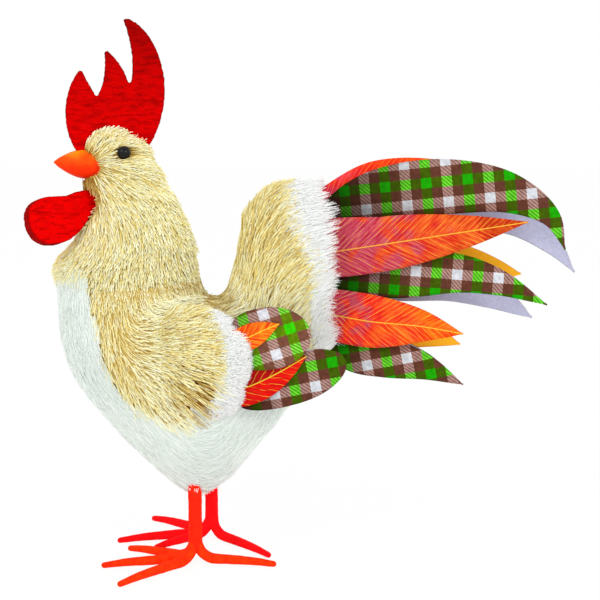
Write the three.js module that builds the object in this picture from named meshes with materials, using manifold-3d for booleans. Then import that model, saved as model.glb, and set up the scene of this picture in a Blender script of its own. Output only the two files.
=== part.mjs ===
// Straw rooster figure, standing. Millimetres, +Z up, the beak points to -X, the left side faces -Y.
// Three foam cores on wire pins carry sheared bristle coats. The felt comb and wattle, the beak, the
// bead eyes, the wired legs and the cloth feathers are all pushed into the coats and the foam.
import * as THREE from 'three';
import { mergeVertices } from 'three/addons/utils/BufferGeometryUtils.js';
import Module from 'manifold-3d';

const wasm = await Module();
wasm.setup();

// Driving dimensions

const FIGURE_LENGTH = 336; // wattle to tail tips
const FIGURE_HEIGHT = 333; // ground to the tip of the comb
const BODY_WIDTH = 90; // across the widest part of the belly
const CLEARANCE = 0.3; // gap between a piece and its seat
const COAT_DEPTH = 8; // bristle coat, from the foam to the sheared surface
const FRINGE_WALL = 5; // white ring of bristles round the tail end
const SADDLE_RADIUS = 62; // reach of the straw patch on the back, from the lowest point of the saddle

const STRAND_LENGTH = 12; // one modelled bristle, root to tip
const STRAND_RADIUS = 1; // at its root
const STRAND_SINK = 2; // depth of its root under the sheared surface
const STRAND_LIFT = 24; // degrees between a bristle and the surface

const PIN_RADIUS = 1.5; // wire pins between the foam cores
const NECK_PIN_LENGTH = 90;
const TAIL_PIN_LENGTH = 82;

const HEAD_TURN = 12; // degrees, the face looks a little to the figure's left
const COMB_FELT = 4;
const WATTLE_FELT = 7; // two layers
const WATTLE_SPLAY = 18; // degrees, the wattle's free end swings to the left
const WATTLE_TILT = 12; // degrees, and its lower edge swings out
const BEAK_LENGTH = 27; // tip to base
const BEAK_HEIGHT = 18; // across the base
const BEAK_WIDTH = 16;
const BEAK_PEG_RADIUS = 3.5;
const BEAK_PEG_LENGTH = 9;
const EYE_RADIUS = 4.2;
const EYE_SPACING = 29; // between the centres of the two beads
const EYE_STEM_RADIUS = 1.2;
const EYE_STEM_GAP = 6; // foam left between the ends of the two stems

const WING_HALF_LENGTH = 49;
const WING_HALF_HEIGHT = 39;
const WING_HALF_DEPTH = 17;
const WING_OUT = BODY_WIDTH / 2 - 6; // wing's middle, from the figure's plane of symmetry
const WING_TOE_OUT = 9; // degrees, the wing's rear stands off the body
const WING_FRINGE = 14; // white crescent at the wing's rear

const FEATHER = 1; // cloth and its backing
const FEATHER_CUP = 2; // bulge of a feather across its width
const TONGUE_LENGTH = 14; // stem of a feather, pushed into its seat
const TONGUE_HALF = 2.2; // half width of the stem

const LEG_RADIUS = 4.2; // wrapped shank
const LEG_WIRE_RADIUS = 1.5;
const LEG_WIRE_DEPTH = 40; // wire above the shank, inside the foam
const LEG_SPREAD = BODY_WIDTH - 37; // between the two shanks
const LEG_STAGGER = 3; // the right leg stands this far behind the left
const ANKLE_HEIGHT = 10;
const TOE_RADIUS = 2.9;
const TOE_TIP_RADIUS = 1.5;
const TOE_FLAT = 0.5; // worn flat under a toe

// Points of the figure are drawn as [x, z] on its plane of symmetry, at 336 long, 333 high and 90 across
// the belly, and take the figure's real size from these.
const LENGTHWAYS = FIGURE_LENGTH / 336;
const UPWARDS = FIGURE_HEIGHT / 333;
const ACROSS = BODY_WIDTH / 90;
const drawn = ([x, z]) => new THREE.Vector3(x * LENGTHWAYS, 0, z * UPWARDS);

// Body form: a fan of oval sections from the crown to the tail edge. Each has a point [x, z] on the
// back line, a point on the breast line, and half the width between the figure's sides.

const SECTIONS = [
  { back: [-117.4, 267.5], front: [-125.4, 265.5], half: 5 }, // crown
  { back: [-105.4, 261.7], front: [-133.7, 254.7], half: 13.5 },
  { back: [-91.5, 253.8], front: [-136, 241.8], half: 17 }, // beak
  { back: [-79.8, 234.1], front: [-134.4, 222.9], half: 20 }, // throat
  { back: [-69.5, 213.2], front: [-138.9, 204.3], half: 25 },
  { back: [-65, 191.2], front: [-154.2, 183.5], half: 33 }, // top of the breast
  { back: [-61.5, 169.9], front: [-153.8, 160], half: 39 },
  { back: [-58.5, 164.1], front: [-142.5, 114.9], half: 43 },
  { back: [-56, 163.1], front: [-107.7, 70.1], half: 45 },
  { back: [-53.5, 162.8], front: [-74.1, 38.6], half: 45 }, // bottom of the belly
  { back: [-50.5, 163.5], front: [-51.3, 40.1], half: 44 },
  { back: [-46.5, 167], front: [-20.4, 76.2], half: 41 },
  { back: [-41, 181], front: [-2, 100.8], half: 35 }, // rump
  { back: [-33, 209.5], front: [6.1, 110.7], half: 31 },
  { back: [-17, 228.5], front: [13.1, 119.5], half: 30 },
  { back: [13, 235.9], front: [24.6, 133.5], half: 31 }, // tail edge
];
const LAST = SECTIONS.length - 1;
const BODY_SIDES = 18;
const RINGS_PER_SECTION = 2;

// Where the coats and the foam are parted, counted in sections from the crown
const NECK_COAT_END = 5.85;
const RUMP_COAT_START = 11.6;
const FRINGE_START = 14.25;
const CORE_START = 1;
const NECK_CORE_END = 5.5;
const TAIL_CORE_START = 12.2;
const CORE_END = 14.55;

const SADDLE = drawn([-54, 162.5]); // lowest point of the back
const HEAD = drawn([-113, 250.5]); // the head turns about the upright through this point
const WING = drawn([-73, 124]);
const LEG_X = drawn([-61.5, 0]).x; // between the two shanks
const PIN_SEATS = {
  neck: { from: drawn([-100, 134.5]), towards: HEAD },
  tail: { from: drawn([-53, 112.5]), towards: drawn([4, 171.5]) },
};

const COLOURS = {
  foam: 0xf2efe6,
  wire: 0x8f9194,
  straw: 0xd9bd7f,
  white: 0xf0efea,
  felt: 0xc9080c,
  beak: 0xf47a14,
  bead: 0x0c0d10,
  wrap: 0xee3a12,
  plaid: 0x6d8a3c,
  leaf: 0xdc4a1c,
};

const FINEST_EDGE = 0.02; // slivers that cuts leave are closed up to this size
const X_AXIS = new THREE.Vector3(1, 0, 0);
const Y_AXIS = new THREE.Vector3(0, 1, 0);
const Z_AXIS = new THREE.Vector3(0, 0, 1);
const radians = THREE.MathUtils.degToRad;

// Solids

function solidFrom(geometry) {
  const loose = geometry.index ? geometry.toNonIndexed() : geometry;
  const bare = new THREE.BufferGeometry().setAttribute('position', loose.getAttribute('position'));
  const merged = mergeVertices(bare, 1e-4);
  const vertProperties = merged.getAttribute('position').array;
  const triVerts = new Uint32Array(merged.index.array);
  return new wasm.Manifold(new wasm.Mesh({ numProp: 3, vertProperties, triVerts }));
}

function geometryFrom(solid) {
  const { vertProperties, triVerts } = solid.simplify(FINEST_EDGE).getMesh();
  const geometry = new THREE.BufferGeometry();
  geometry.setAttribute('position', new THREE.BufferAttribute(vertProperties, 3));
  geometry.setIndex(new THREE.BufferAttribute(triVerts, 1));
  geometry.computeVertexNormals();
  return geometry;
}

function cut(solid, ...tools) {
  return tools.reduce((left, tool) => left.subtract(tool), solid);
}

// The largest piece that a cut leaves; the rest is offcut.
function mainBody(solid) {
  return solid.decompose().sort((a, b) => b.volume() - a.volume())[0];
}

// A closed solid through a row of rings, each a loop of as many points, capped flat at both ends.
function skin(rings) {
  const sides = rings[0].length;
  const corners = rings.flat();
  const faces = [];
  for (let row = 0; row < rings.length - 1; row += 1) {
    for (let side = 0; side < sides; side += 1) {
      const here = row * sides + side;
      const next = row * sides + ((side + 1) % sides);
      faces.push(here, next, here + sides, next, next + sides, here + sides);
    }
  }
  const end = (rings.length - 1) * sides;
  for (let side = 1; side < sides - 1; side += 1) {
    faces.push(0, side + 1, side, end, end + side, end + side + 1);
  }
  const geometry = new THREE.BufferGeometry().setFromPoints(corners);
  geometry.setIndex(faces);
  const solid = solidFrom(geometry);
  if (solid.volume() > 0) return solid;
  geometry.setIndex(faces.reverse());
  return solidFrom(geometry);
}

// A round rod along a curve whose radius follows a function of the way along it, from 0 to 1.
function rod(curve, radiusAt, steps, sides) {
  const frames = curve.computeFrenetFrames(steps, false);
  const rings = [];
  for (let step = 0; step <= steps; step += 1) {
    const centre = curve.getPointAt(step / steps);
    const ring = [];
    for (let side = 0; side < sides; side += 1) {
      const turn = (2 * Math.PI * side) / sides;
      const spoke = frames.normals[step].clone().multiplyScalar(Math.cos(turn));
      spoke.addScaledVector(frames.binormals[step], Math.sin(turn));
      ring.push(centre.clone().addScaledVector(spoke, radiusAt(step / steps)));
    }
    rings.push(ring);
  }
  return skin(rings);
}

function straightRod(from, to, radius, sides = 12) {
  return rod(new THREE.LineCurve3(from, to), () => radius, 1, sides);
}

// Body

const backLine = new THREE.CatmullRomCurve3(
  SECTIONS.map(({ back, half }) => drawn(back).setY(half * ACROSS)),
);
const frontLine = new THREE.CatmullRomCurve3(
  SECTIONS.map(({ front, half }) => drawn(front).setY(half * ACROSS)),
);

// One oval of the body, at a place counted in sections. Inset draws it in all round.
function bodySection(place, inset) {
  const back = backLine.getPoint(place / LAST);
  const front = frontLine.getPoint(place / LAST);
  const halfWidth = back.y - inset;
  back.setY(0);
  front.setY(0);
  const along = front.clone().sub(back);
  const halfChord = along.length() / 2 - inset;
  along.normalize();
  const ahead = new THREE.Vector3(-along.z, 0, along.x);
  const middle = back.add(front).multiplyScalar(0.5);
  return { middle, along, ahead, halfChord, halfWidth };
}

// A point on the body: turn 0 is on the back line, a half turn is on the breast line.
function bodyPoint(place, turn, inset = 0, shift = 0) {
  const { middle, along, ahead, halfChord, halfWidth } = bodySection(place, inset);
  const point = middle.addScaledVector(along, -halfChord * Math.cos(turn));
  point.addScaledVector(Y_AXIS, halfWidth * Math.sin(turn));
  return point.addScaledVector(ahead, shift);
}

// A length of the body. Trims move its end faces back from the places they are given at.
// The rings between the ends are at the same places for every length, so lengths nest evenly.
function bodyLength(from, to, inset, startTrim, endTrim) {
  const places = [];
  for (let count = 0; count <= LAST * RINGS_PER_SECTION; count += 1) {
    const place = count / RINGS_PER_SECTION;
    if (place > from && place < to) places.push({ place, shift: 0 });
  }
  places.unshift({ place: from, shift: startTrim });
  places.push({ place: to, shift: -endTrim });
  const rings = places.map(({ place, shift }) => {
    const ring = [];
    for (let side = 0; side < BODY_SIDES; side += 1) {
      ring.push(bodyPoint(place, (2 * Math.PI * side) / BODY_SIDES, inset, shift));
    }
    return ring;
  });
  return skin(rings);
}

const HALF_GAP = CLEARANCE / 2;
const OVERRUN = 6; // a cutting tool runs this far past the face it opens
const foamRoom = bodyLength(CORE_START, LAST, COAT_DEPTH - CLEARANCE, -CLEARANCE, -OVERRUN);
const fringeRoom = bodyLength(CORE_START, LAST, FRINGE_WALL, 0, -OVERRUN);
const bodyRoom = bodyLength(0, LAST, -CLEARANCE, -CLEARANCE, -CLEARANCE);

// Bristles: three-sided spikes that lie back along the coat, kept clear of each other and of the
// pieces that are pushed through the coat.

function strand(root, lay, normal) {
  const axis = lay.clone().multiplyScalar(Math.cos(radians(STRAND_LIFT)));
  axis.addScaledVector(normal, Math.sin(radians(STRAND_LIFT)));
  const foot = root.clone().addScaledVector(normal, -STRAND_SINK);
  const tip = foot.clone().addScaledVector(axis, STRAND_LENGTH);
  const spike = new THREE.ConeGeometry(STRAND_RADIUS, STRAND_LENGTH, 3);
  spike.applyQuaternion(new THREE.Quaternion().setFromUnitVectors(Y_AXIS, axis));
  const middle = foot.lerp(tip, 0.5);
  return solidFrom(spike.translate(middle.x, middle.y, middle.z));
}

// The lay and the outward normal at a place where two steps along the surface are known.
function strandOn(root, ahead, around) {
  const lay = ahead.clone().sub(root).normalize();
  const normal = lay.clone().cross(around.clone().sub(root)).normalize();
  return strand(root, lay, normal);
}

function bodyStrands(from, to, rows, perRow) {
  const small = 0.02;
  const strands = [];
  for (let row = 0; row < rows; row += 1) {
    const place = THREE.MathUtils.lerp(from, to, (row + 0.5) / rows);
    for (let column = 0; column < perRow; column += 1) {
      const turn = (2 * Math.PI * (column + 0.25 + (row % 2) / 2)) / perRow;
      const root = bodyPoint(place, turn);
      strands.push(strandOn(root, bodyPoint(place + small, turn), bodyPoint(place, turn + small)));
    }
  }
  return strands;
}

// How many corners of a solid lie so close together that they would weld into one.
function weldedCorners(solid) {
  const { vertProperties } = solid.getMesh();
  const corners = new THREE.BufferGeometry();
  corners.setAttribute('position', new THREE.BufferAttribute(vertProperties, 3));
  return solid.numVert() - mergeVertices(corners, FINEST_EDGE).getAttribute('position').count;
}

// Joins to a coat the bristles that touch neither each other nor the obstacles, and join cleanly.
function withStrands(coat, strands, obstacles) {
  const allowed = weldedCorners(coat);
  let taken = obstacles;
  let coated = coat;
  for (const one of strands) {
    if (!one.intersect(taken).isEmpty()) continue;
    const joined = coated.add(one);
    if (weldedCorners(joined) > allowed) continue;
    taken = taken.add(one);
    coated = joined;
  }
  return mainBody(coated);
}

// Head pieces, made looking straight ahead and then turned with the head

const headMatrix = new THREE.Matrix4()
  .makeTranslation(HEAD)
  .multiply(new THREE.Matrix4().makeRotationZ(radians(HEAD_TURN)))
  .multiply(new THREE.Matrix4().makeTranslation(HEAD.clone().negate()));

function turned(solid) {
  return solid.transform(headMatrix.elements);
}

// A felt cut-out, drawn in the XZ plane, felt thick in Y and larger all round by grow.
function feltPlate(shape, felt, grow) {
  const plate = new THREE.ExtrudeGeometry(shape, {
    depth: felt,
    curveSegments: 6,
    bevelEnabled: grow > 0,
    bevelThickness: grow,
    bevelSize: grow,
    bevelSegments: 1,
  });
  plate.translate(0, 0, -felt / 2);
  plate.rotateX(Math.PI / 2);
  return solidFrom(plate.scale(LENGTHWAYS, 1, UPWARDS));
}

// Three swept-back points on a base that follows the crown.
function combShape() {
  const shape = new THREE.Shape();
  shape.moveTo(-138, 253.1);
  shape.bezierCurveTo(-146.4, 266.5, -146, 287, -136.6, 301.3);
  shape.lineTo(-134.8, 301.1);
  shape.quadraticCurveTo(-130.3, 292.1, -125.8, 285.4);
  shape.quadraticCurveTo(-118, 295, -119.6, 312.5);
  shape.lineTo(-117.6, 313.3);
  shape.quadraticCurveTo(-107, 303.7, -104.7, 292.7);
  shape.bezierCurveTo(-101, 304.7, -102.2, 318.3, -106.6, 332.1);
  shape.lineTo(-103.4, 332.6);
  shape.bezierCurveTo(-86, 324, -75.3, 285.2, -92, 254.4);
  shape.lineTo(-96.4, 251.8);
  shape.quadraticCurveTo(-120.4, 267.6, -133, 250.8);
  return shape;
}

// One rounded lobe in front of the throat, with a root that enters the neck.
function wattleShape() {
  const shape = new THREE.Shape();
  shape.moveTo(-120, 229.9);
  shape.quadraticCurveTo(-139, 228.9, -147, 224.9);
  shape.quadraticCurveTo(-171.5, 228, -171.5, 211.8);
  shape.quadraticCurveTo(-171, 196.4, -157, 196);
  shape.quadraticCurveTo(-143, 197, -133.2, 212);
  shape.quadraticCurveTo(-129, 217.5, -120, 220.5);
  return shape;
}

function comb(grow = 0) {
  return turned(feltPlate(combShape(), COMB_FELT, grow));
}

function wattle(grow = 0) {
  const hinge = drawn([-127, 224.5]);
  const swing = new THREE.Matrix4()
    .makeTranslation(hinge)
    .multiply(new THREE.Matrix4().makeRotationZ(radians(WATTLE_SPLAY)))
    .multiply(new THREE.Matrix4().makeRotationX(-radians(WATTLE_TILT)))
    .multiply(new THREE.Matrix4().makeTranslation(hinge.clone().negate()));
  return turned(feltPlate(wattleShape(), WATTLE_FELT, grow).transform(swing.elements));
}

// A blunt cone with full cheeks, and a peg behind it.
function beak(grow = 0) {
  const tip = drawn([-152.7, 245.9]);
  const base = drawn([0, 244.5]).setX(tip.x + BEAK_LENGTH);
  const steps = 6;
  const sides = 14;
  const rings = [];
  for (let step = 0; step <= steps; step += 1) {
    const way = step / steps;
    const swell = THREE.MathUtils.lerp(0.12, 1, Math.sin((way * Math.PI) / 2));
    const centre = tip.clone().lerp(base, way);
    centre.x += step === 0 ? -grow : step === steps ? grow : 0;
    const ring = [];
    for (let side = 0; side < sides; side += 1) {
      const turn = (2 * Math.PI * side) / sides;
      const across = ((BEAK_WIDTH / 2) * swell + grow) * Math.cos(turn);
      const up = ((BEAK_HEIGHT / 2) * swell + grow) * Math.sin(turn);
      ring.push(new THREE.Vector3(centre.x, across, centre.z + up));
    }
    rings.push(ring);
  }
  const pegFrom = base.clone().addScaledVector(X_AXIS, -1);
  const pegTo = base.clone().addScaledVector(X_AXIS, BEAK_PEG_LENGTH + grow);
  return turned(skin(rings).add(straightRod(pegFrom, pegTo, BEAK_PEG_RADIUS + grow)));
}

// A glass bead on a stem, on the left (-1) or the right (1).
function eye(side, grow = 0) {
  const radius = EYE_RADIUS + grow;
  const stem = EYE_STEM_RADIUS + grow;
  const end = (EYE_STEM_GAP - EYE_SPACING) / 2 - grow;
  const profile = [new THREE.Vector2(0, end), new THREE.Vector2(stem, end)];
  const arcSteps = 7;
  const start = -Math.acos(stem / radius);
  for (let step = 0; step <= arcSteps; step += 1) {
    const lift = THREE.MathUtils.lerp(start, Math.PI / 2, step / arcSteps);
    profile.push(new THREE.Vector2(radius * Math.cos(lift), radius * Math.sin(lift)));
  }
  profile[profile.length - 1].x = 0;
  const bead = new THREE.LatheGeometry(profile, 14);
  if (side < 0) bead.rotateX(Math.PI);
  const seat = drawn([-109, 251.8]);
  bead.translate(seat.x, (side * EYE_SPACING) / 2, seat.z);
  return turned(solidFrom(bead));
}

// Wings

function wingBlank(side, grow = 0) {
  const blank = new THREE.SphereGeometry(1, 20, 12);
  blank.scale(WING_HALF_LENGTH + grow, WING_HALF_DEPTH + grow, WING_HALF_HEIGHT + grow);
  blank.rotateZ(side * radians(WING_TOE_OUT));
  blank.translate(WING.x, side * WING_OUT, WING.z);
  return solidFrom(blank);
}

// The wing's outline moved forwards and a little up; what lies behind it is the white crescent.
function wingFore(grow) {
  const outline = new THREE.CylinderGeometry(1, 1, 2 * BODY_WIDTH, 40);
  outline.scale(WING_HALF_LENGTH + grow, 1, WING_HALF_HEIGHT + grow);
  return solidFrom(outline.translate(WING.x - WING_FRINGE, 0, WING.z + WING_FRINGE / 5));
}

function wingStrands(side, rows, perRow) {
  const small = 0.02;
  const toe = side * radians(WING_TOE_OUT);
  const on = (across, up) => {
    const rest = Math.sqrt(Math.max(0, 1 - across ** 2 - up ** 2));
    const point = new THREE.Vector3(
      across * WING_HALF_LENGTH,
      side * rest * WING_HALF_DEPTH,
      up * WING_HALF_HEIGHT,
    );
    point.applyAxisAngle(Z_AXIS, toe);
    return point.add(new THREE.Vector3(WING.x, side * WING_OUT, WING.z));
  };
  const reach = 0.78;
  const strands = [];
  for (let row = 0; row < rows; row += 1) {
    const up = THREE.MathUtils.lerp(-reach, reach, (row + 0.5) / rows);
    const half = Math.sqrt(reach ** 2 - up ** 2);
    for (let column = 0; column < perRow; column += 1) {
      const across = THREE.MathUtils.lerp(-half, half * 0.6, (column + (row % 2) / 2) / perRow);
      const root = on(across, up);
      strands.push(strandOn(root, on(across + small, up), on(across, up - side * small)));
    }
  }
  return strands;
}

// Feathers: flat cloth blades on a stem, drawn as a middle line in the XZ plane.
// widest is the share of the length where half is reached, and round gives the tip an oval end.

const TAIL_FEATHERS = [
  {
    name: 'tail_leaf_top', cloth: 'leaf', sides: [0], half: 10, widest: 0.4,
    line: [[14, 219.5], [39.5, 234.5], [61, 241.5], [86.3, 247.5]], rootOut: 0, tipOut: 0,
  },
  {
    name: 'tail_plaid_top', cloth: 'plaid', sides: [-1, 1],
    half: 16.8, widest: 0.42, droop: 5.5, stretch: 1.09,
    line: [[14.5, 216.5], [49.5, 227.5], [91, 231.9], [126.6, 228.2], [151, 214.3], [160, 194.9]],
    rootOut: 7, tipOut: 14,
  },
  {
    name: 'tail_leaf_upper', cloth: 'leaf', sides: [-1, 1], half: 16.5, widest: 0.28, droop: 17,
    line: [[15, 191.5], [44, 196.5], [85.4, 203.5], [136.8, 212]], rootOut: 14, tipOut: 23,
  },
  {
    name: 'tail_plaid_middle', cloth: 'plaid', sides: [-1, 1],
    half: 13, widest: 0.46, droop: 5.6, stretch: 0.97,
    line: [[14.6, 173.3], [59.7, 176.5], [94.7, 179.9], [122, 174.2], [150, 161.5]], rootOut: 9, tipOut: 15,
  },
  {
    name: 'tail_leaf_lower', cloth: 'leaf', sides: [-1, 1],
    half: 16.5, widest: 0.3, droop: 8.4, stretch: 1.03,
    line: [[14.8, 154.5], [44.3, 150.2], [74.6, 148], [100, 143.9]], rootOut: 11, tipOut: 19,
  },
  {
    name: 'tail_plaid_lower', cloth: 'plaid', sides: [-1, 1], half: 13.5, widest: 0.36,
    line: [[13.5, 145.9], [30.5, 132], [52.3, 127.3], [78, 121.5], [100.8, 111.3]], rootOut: 5, tipOut: 12,
  },
].map((feather) => ({ ...feather, line: feather.line.map(drawn) }));

// The lines of the wing feathers are in half lengths and half heights of the wing, from its middle.
const WING_LAYER = FEATHER + CLEARANCE;
const WING_FEATHER_OUT = WING_OUT + 6.5; // innermost wing feather, from the plane of symmetry
const WING_FEATHERS = [
  {
    name: 'wing_plaid_lower', cloth: 'plaid', half: 15.5, widest: 0.5, round: true,
    line: [[0.735, -0.295], [1.163, -0.192], [1.633, -0.026], [2.108, 0.192]],
  },
  {
    name: 'wing_leaf_lower', cloth: 'leaf', half: 11, widest: 0.3,
    line: [[0.755, -0.308], [1.012, -0.179], [1.327, 0.023], [1.633, 0.256]],
  },
  {
    name: 'wing_plaid_upper', cloth: 'plaid', half: 18.5, widest: 0.45, round: true,
    line: [[0.763, 0.423], [1.094, 0.513], [1.404, 0.556], [1.694, 0.577]],
  },
  {
    name: 'wing_leaf_upper', cloth: 'leaf', half: 7.5, widest: 0.38,
    line: [[0.747, 0.449], [0.922, 0.538], [1.116, 0.654], [1.31, 0.756]],
  },
].map((feather, layer) => {
  const out = WING_FEATHER_OUT + layer * WING_LAYER;
  const place = ([x, z]) => new THREE.Vector3(x * WING_HALF_LENGTH, 0, z * WING_HALF_HEIGHT).add(WING);
  const line = feather.line.map(place);
  return { ...feather, line, sides: [-1, 1], rootOut: out, tipOut: out, cup: 0 };
});

function bladeHalf({ half, widest, round }, way) {
  if (way < widest) return Math.max(TONGUE_HALF, half * Math.sin((Math.PI / 2) * (way / widest) ** 0.55));
  const rest = (way - widest) / (1 - widest);
  const taper = round ? Math.sqrt(1 - rest ** 2) : 1 - rest ** 1.7;
  return Math.max(FEATHER / 2, half * taper);
}

// The middle line on one side of the figure. The right-hand copy droops about its root by some degrees
// and is longer or shorter by its stretch.
function featherLine({ line, rootOut, tipOut, droop = 0, stretch = 1 }, side) {
  const root = line[0];
  const fall = side > 0 ? radians(droop) : 0;
  const scale = side > 0 ? stretch : 1;
  return new THREE.CatmullRomCurve3(
    line.map((point, index) => {
      const out = THREE.MathUtils.lerp(rootOut, tipOut, index / (line.length - 1));
      const reach = point.clone().sub(root).applyAxisAngle(Y_AXIS, fall).multiplyScalar(scale);
      return reach.add(root).setY(side * out);
    }),
  );
}

// One feather as a thin closed sheet. Grow makes the room that it needs in its seat.
function feather(spec, side, grow = 0) {
  const curve = featherLine(spec, side);
  const steps = 8;
  const thickness = FEATHER / 2 + grow;
  const cup = (spec.cup ?? FEATHER_CUP) * (side > 0 ? 1 : -1);
  const root = curve.getPointAt(0);
  const stem = curve.getTangentAt(0).setY(0).normalize();
  const end = root.addScaledVector(stem, -TONGUE_LENGTH - grow);
  const rows = [{ centre: end, tangent: stem, half: TONGUE_HALF }];
  for (let step = 0; step <= steps; step += 1) {
    const way = step / steps;
    const centre = curve.getPointAt(way);
    const tangent = curve.getTangentAt(way).setY(0).normalize();
    rows.push({ centre, tangent, half: bladeHalf(spec, way), bulge: cup * Math.sin(Math.PI * way) });
  }
  rows[rows.length - 1].centre.addScaledVector(rows[rows.length - 1].tangent, grow);
  const rings = rows.map(({ centre, tangent, half, bulge = 0 }) => {
    const up = new THREE.Vector3(-tangent.z, 0, tangent.x);
    const at = (across, lift) => {
      const point = centre.clone().addScaledVector(up, across * (half + grow));
      return point.addScaledVector(Y_AXIS, bulge * (1 - across ** 2) + lift);
    };
    return [
      at(-1, -thickness), at(0, -thickness), at(1, -thickness),
      at(1, thickness), at(0, thickness), at(-1, thickness),
    ];
  });
  return skin(rings);
}

// Legs and feet

const FEET = [
  {
    side: -1,
    toes: {
      outer: { heading: 51, length: 62 },
      middle: { heading: 15, length: 58 },
      inner: { heading: -23, length: 50 },
      back: { heading: 174, length: 51 },
    },
  },
  {
    side: 1,
    toes: {
      inner: { heading: 45, length: 46 },
      middle: { heading: 18, length: 62 },
      outer: { heading: -35, length: 55 },
      back: { heading: 135, length: 60 },
    },
  },
];

function legPoint(side, height) {
  return new THREE.Vector3(LEG_X + (side * LEG_STAGGER) / 2, (side * LEG_SPREAD) / 2, height);
}

// A wrapped wire that leaves the ankle, bends to the ground and tapers along it.
// Its heading is in degrees from straight ahead, towards the figure's left.
function toe(side, { heading, length }, grow = 0) {
  const way = new THREE.Vector3(-Math.cos(radians(heading)), -Math.sin(radians(heading)), 0);
  const lying = TOE_RADIUS - TOE_FLAT;
  const tipLying = TOE_TIP_RADIUS - TOE_FLAT;
  const at = (reach, height) => legPoint(side, height).addScaledVector(way, reach);
  const line = new THREE.CatmullRomCurve3([
    at(0.7, ANKLE_HEIGHT),
    at(2, ANKLE_HEIGHT * 0.62),
    at(LEG_RADIUS * 2, lying * 1.15),
    at(length * 0.4, lying),
    at(length * 0.75, (lying + tipLying) / 2 + 0.3),
    at(length, tipLying),
  ]);
  const radiusAt = (share) => THREE.MathUtils.lerp(TOE_RADIUS, TOE_TIP_RADIUS, share ** 2) + grow;
  return rod(line, radiusAt, 8, 7);
}

const groundRoom = (() => {
  const slab = new THREE.BoxGeometry(FIGURE_LENGTH, FIGURE_LENGTH, ANKLE_HEIGHT);
  return solidFrom(slab.translate(LEG_X, 0, -ANKLE_HEIGHT / 2));
})();

// The toes of one foot. The first keeps its whole root, and each later one is cut back from those before.
function footToes({ side, toes }, shankRoom) {
  const made = {};
  const rooms = [shankRoom];
  for (const [name, spec] of Object.entries(toes)) {
    made[name] = mainBody(cut(toe(side, spec), groundRoom, ...rooms));
    rooms.push(toe(side, spec, CLEARANCE));
  }
  return made;
}

function legRod(side, radius, from, to) {
  return straightRod(legPoint(side, from), legPoint(side, to), radius);
}

// Assembly

const rooster = new THREE.Group();
rooster.name = 'straw_rooster';

function addPiece(group, name, solid, colour, roughness = 0.9, metalness = 0) {
  const material = new THREE.MeshStandardMaterial({ color: colour, roughness, metalness });
  const mesh = new THREE.Mesh(geometryFrom(solid), material);
  mesh.name = name;
  group.add(mesh);
}

function addGroup(name) {
  const group = new THREE.Group();
  group.name = name;
  rooster.add(group);
  return group;
}

const sideName = (side) => ({ '-1': '_left', 0: '', 1: '_right' })[side];
const everyFeather = (feathers) => feathers.flatMap((spec) => spec.sides.map((side) => ({ spec, side })));

const pins = Object.fromEntries(
  Object.entries({ neck: NECK_PIN_LENGTH, tail: TAIL_PIN_LENGTH }).map(([name, length]) => {
    const { from, towards } = PIN_SEATS[name];
    const way = towards.clone().sub(from).normalize();
    const make = (grow) => straightRod(
      from.clone().addScaledVector(way, -grow),
      from.clone().addScaledVector(way, length + grow),
      PIN_RADIUS + grow,
      8,
    );
    return [name, { wire: make(0), room: make(CLEARANCE) }];
  }),
);

// Foam cores and their pins
const tailFeathers = everyFeather(TAIL_FEATHERS);
const tailRooms = tailFeathers.map(({ spec, side }) => feather(spec, side, CLEARANCE));
const headRooms = [comb, wattle, beak].map((piece) => piece(CLEARANCE));
const eyeRooms = [-1, 1].map((side) => eye(side, CLEARANCE));
const foamOf = (from, to) => bodyLength(from, to, COAT_DEPTH, HALF_GAP, HALF_GAP);
const torsoFoam = foamOf(NECK_CORE_END, TAIL_CORE_START);
const shankTop = SADDLE.z; // the shank is cut back to the foam from here

const legs = FEET.map(({ side }) => {
  const shankRoom = legRod(side, LEG_RADIUS + CLEARANCE, ANKLE_HEIGHT - CLEARANCE, shankTop);
  const whole = legRod(side, LEG_RADIUS, ANKLE_HEIGHT, shankTop);
  const outside = mainBody(cut(whole, foamRoom));
  const wireFrom = ANKLE_HEIGHT + LEG_RADIUS;
  const wireTo = outside.boundingBox().max[2] + LEG_WIRE_DEPTH;
  const wireRoom = legRod(side, LEG_WIRE_RADIUS + CLEARANCE, wireFrom - CLEARANCE, wireTo + CLEARANCE);
  const wire = legRod(side, LEG_WIRE_RADIUS, wireFrom, wireTo);
  return { side, shank: cut(outside, wireRoom), wire, shankRoom, wireRoom };
});

const core = addGroup('core');
addPiece(core, 'neck_core',
  cut(foamOf(CORE_START, NECK_CORE_END), pins.neck.room, ...headRooms, ...eyeRooms), COLOURS.foam);
addPiece(core, 'torso_core',
  cut(torsoFoam, pins.neck.room, pins.tail.room, ...legs.map((leg) => leg.wireRoom)), COLOURS.foam);
addPiece(core, 'tail_core',
  cut(foamOf(TAIL_CORE_START, CORE_END), pins.tail.room, ...tailRooms), COLOURS.foam);
addPiece(core, 'neck_pin', pins.neck.wire, COLOURS.wire, 0.4, 1);
addPiece(core, 'tail_pin', pins.tail.wire, COLOURS.wire, 0.4, 1);

// Bristle coats
const wingRooms = [-1, 1].map((side) => wingBlank(side, CLEARANCE));
const neckObstacles = [...headRooms, ...eyeRooms, ...wingRooms].reduce((all, one) => all.add(one));
const rumpObstacles = [...wingRooms, ...tailRooms].reduce((all, one) => all.add(one));
const coatOf = (from, to) => cut(bodyLength(from, to, 0, HALF_GAP, HALF_GAP), foamRoom);
const middleCoat = coatOf(NECK_COAT_END, RUMP_COAT_START);
const shankRooms = legs.map((leg) => leg.shankRoom);

function saddlePatch(radius) {
  const drum = new THREE.CylinderGeometry(radius, radius, FIGURE_LENGTH, 28);
  return solidFrom(drum.translate(SADDLE.x, 0, SADDLE.z));
}

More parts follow.
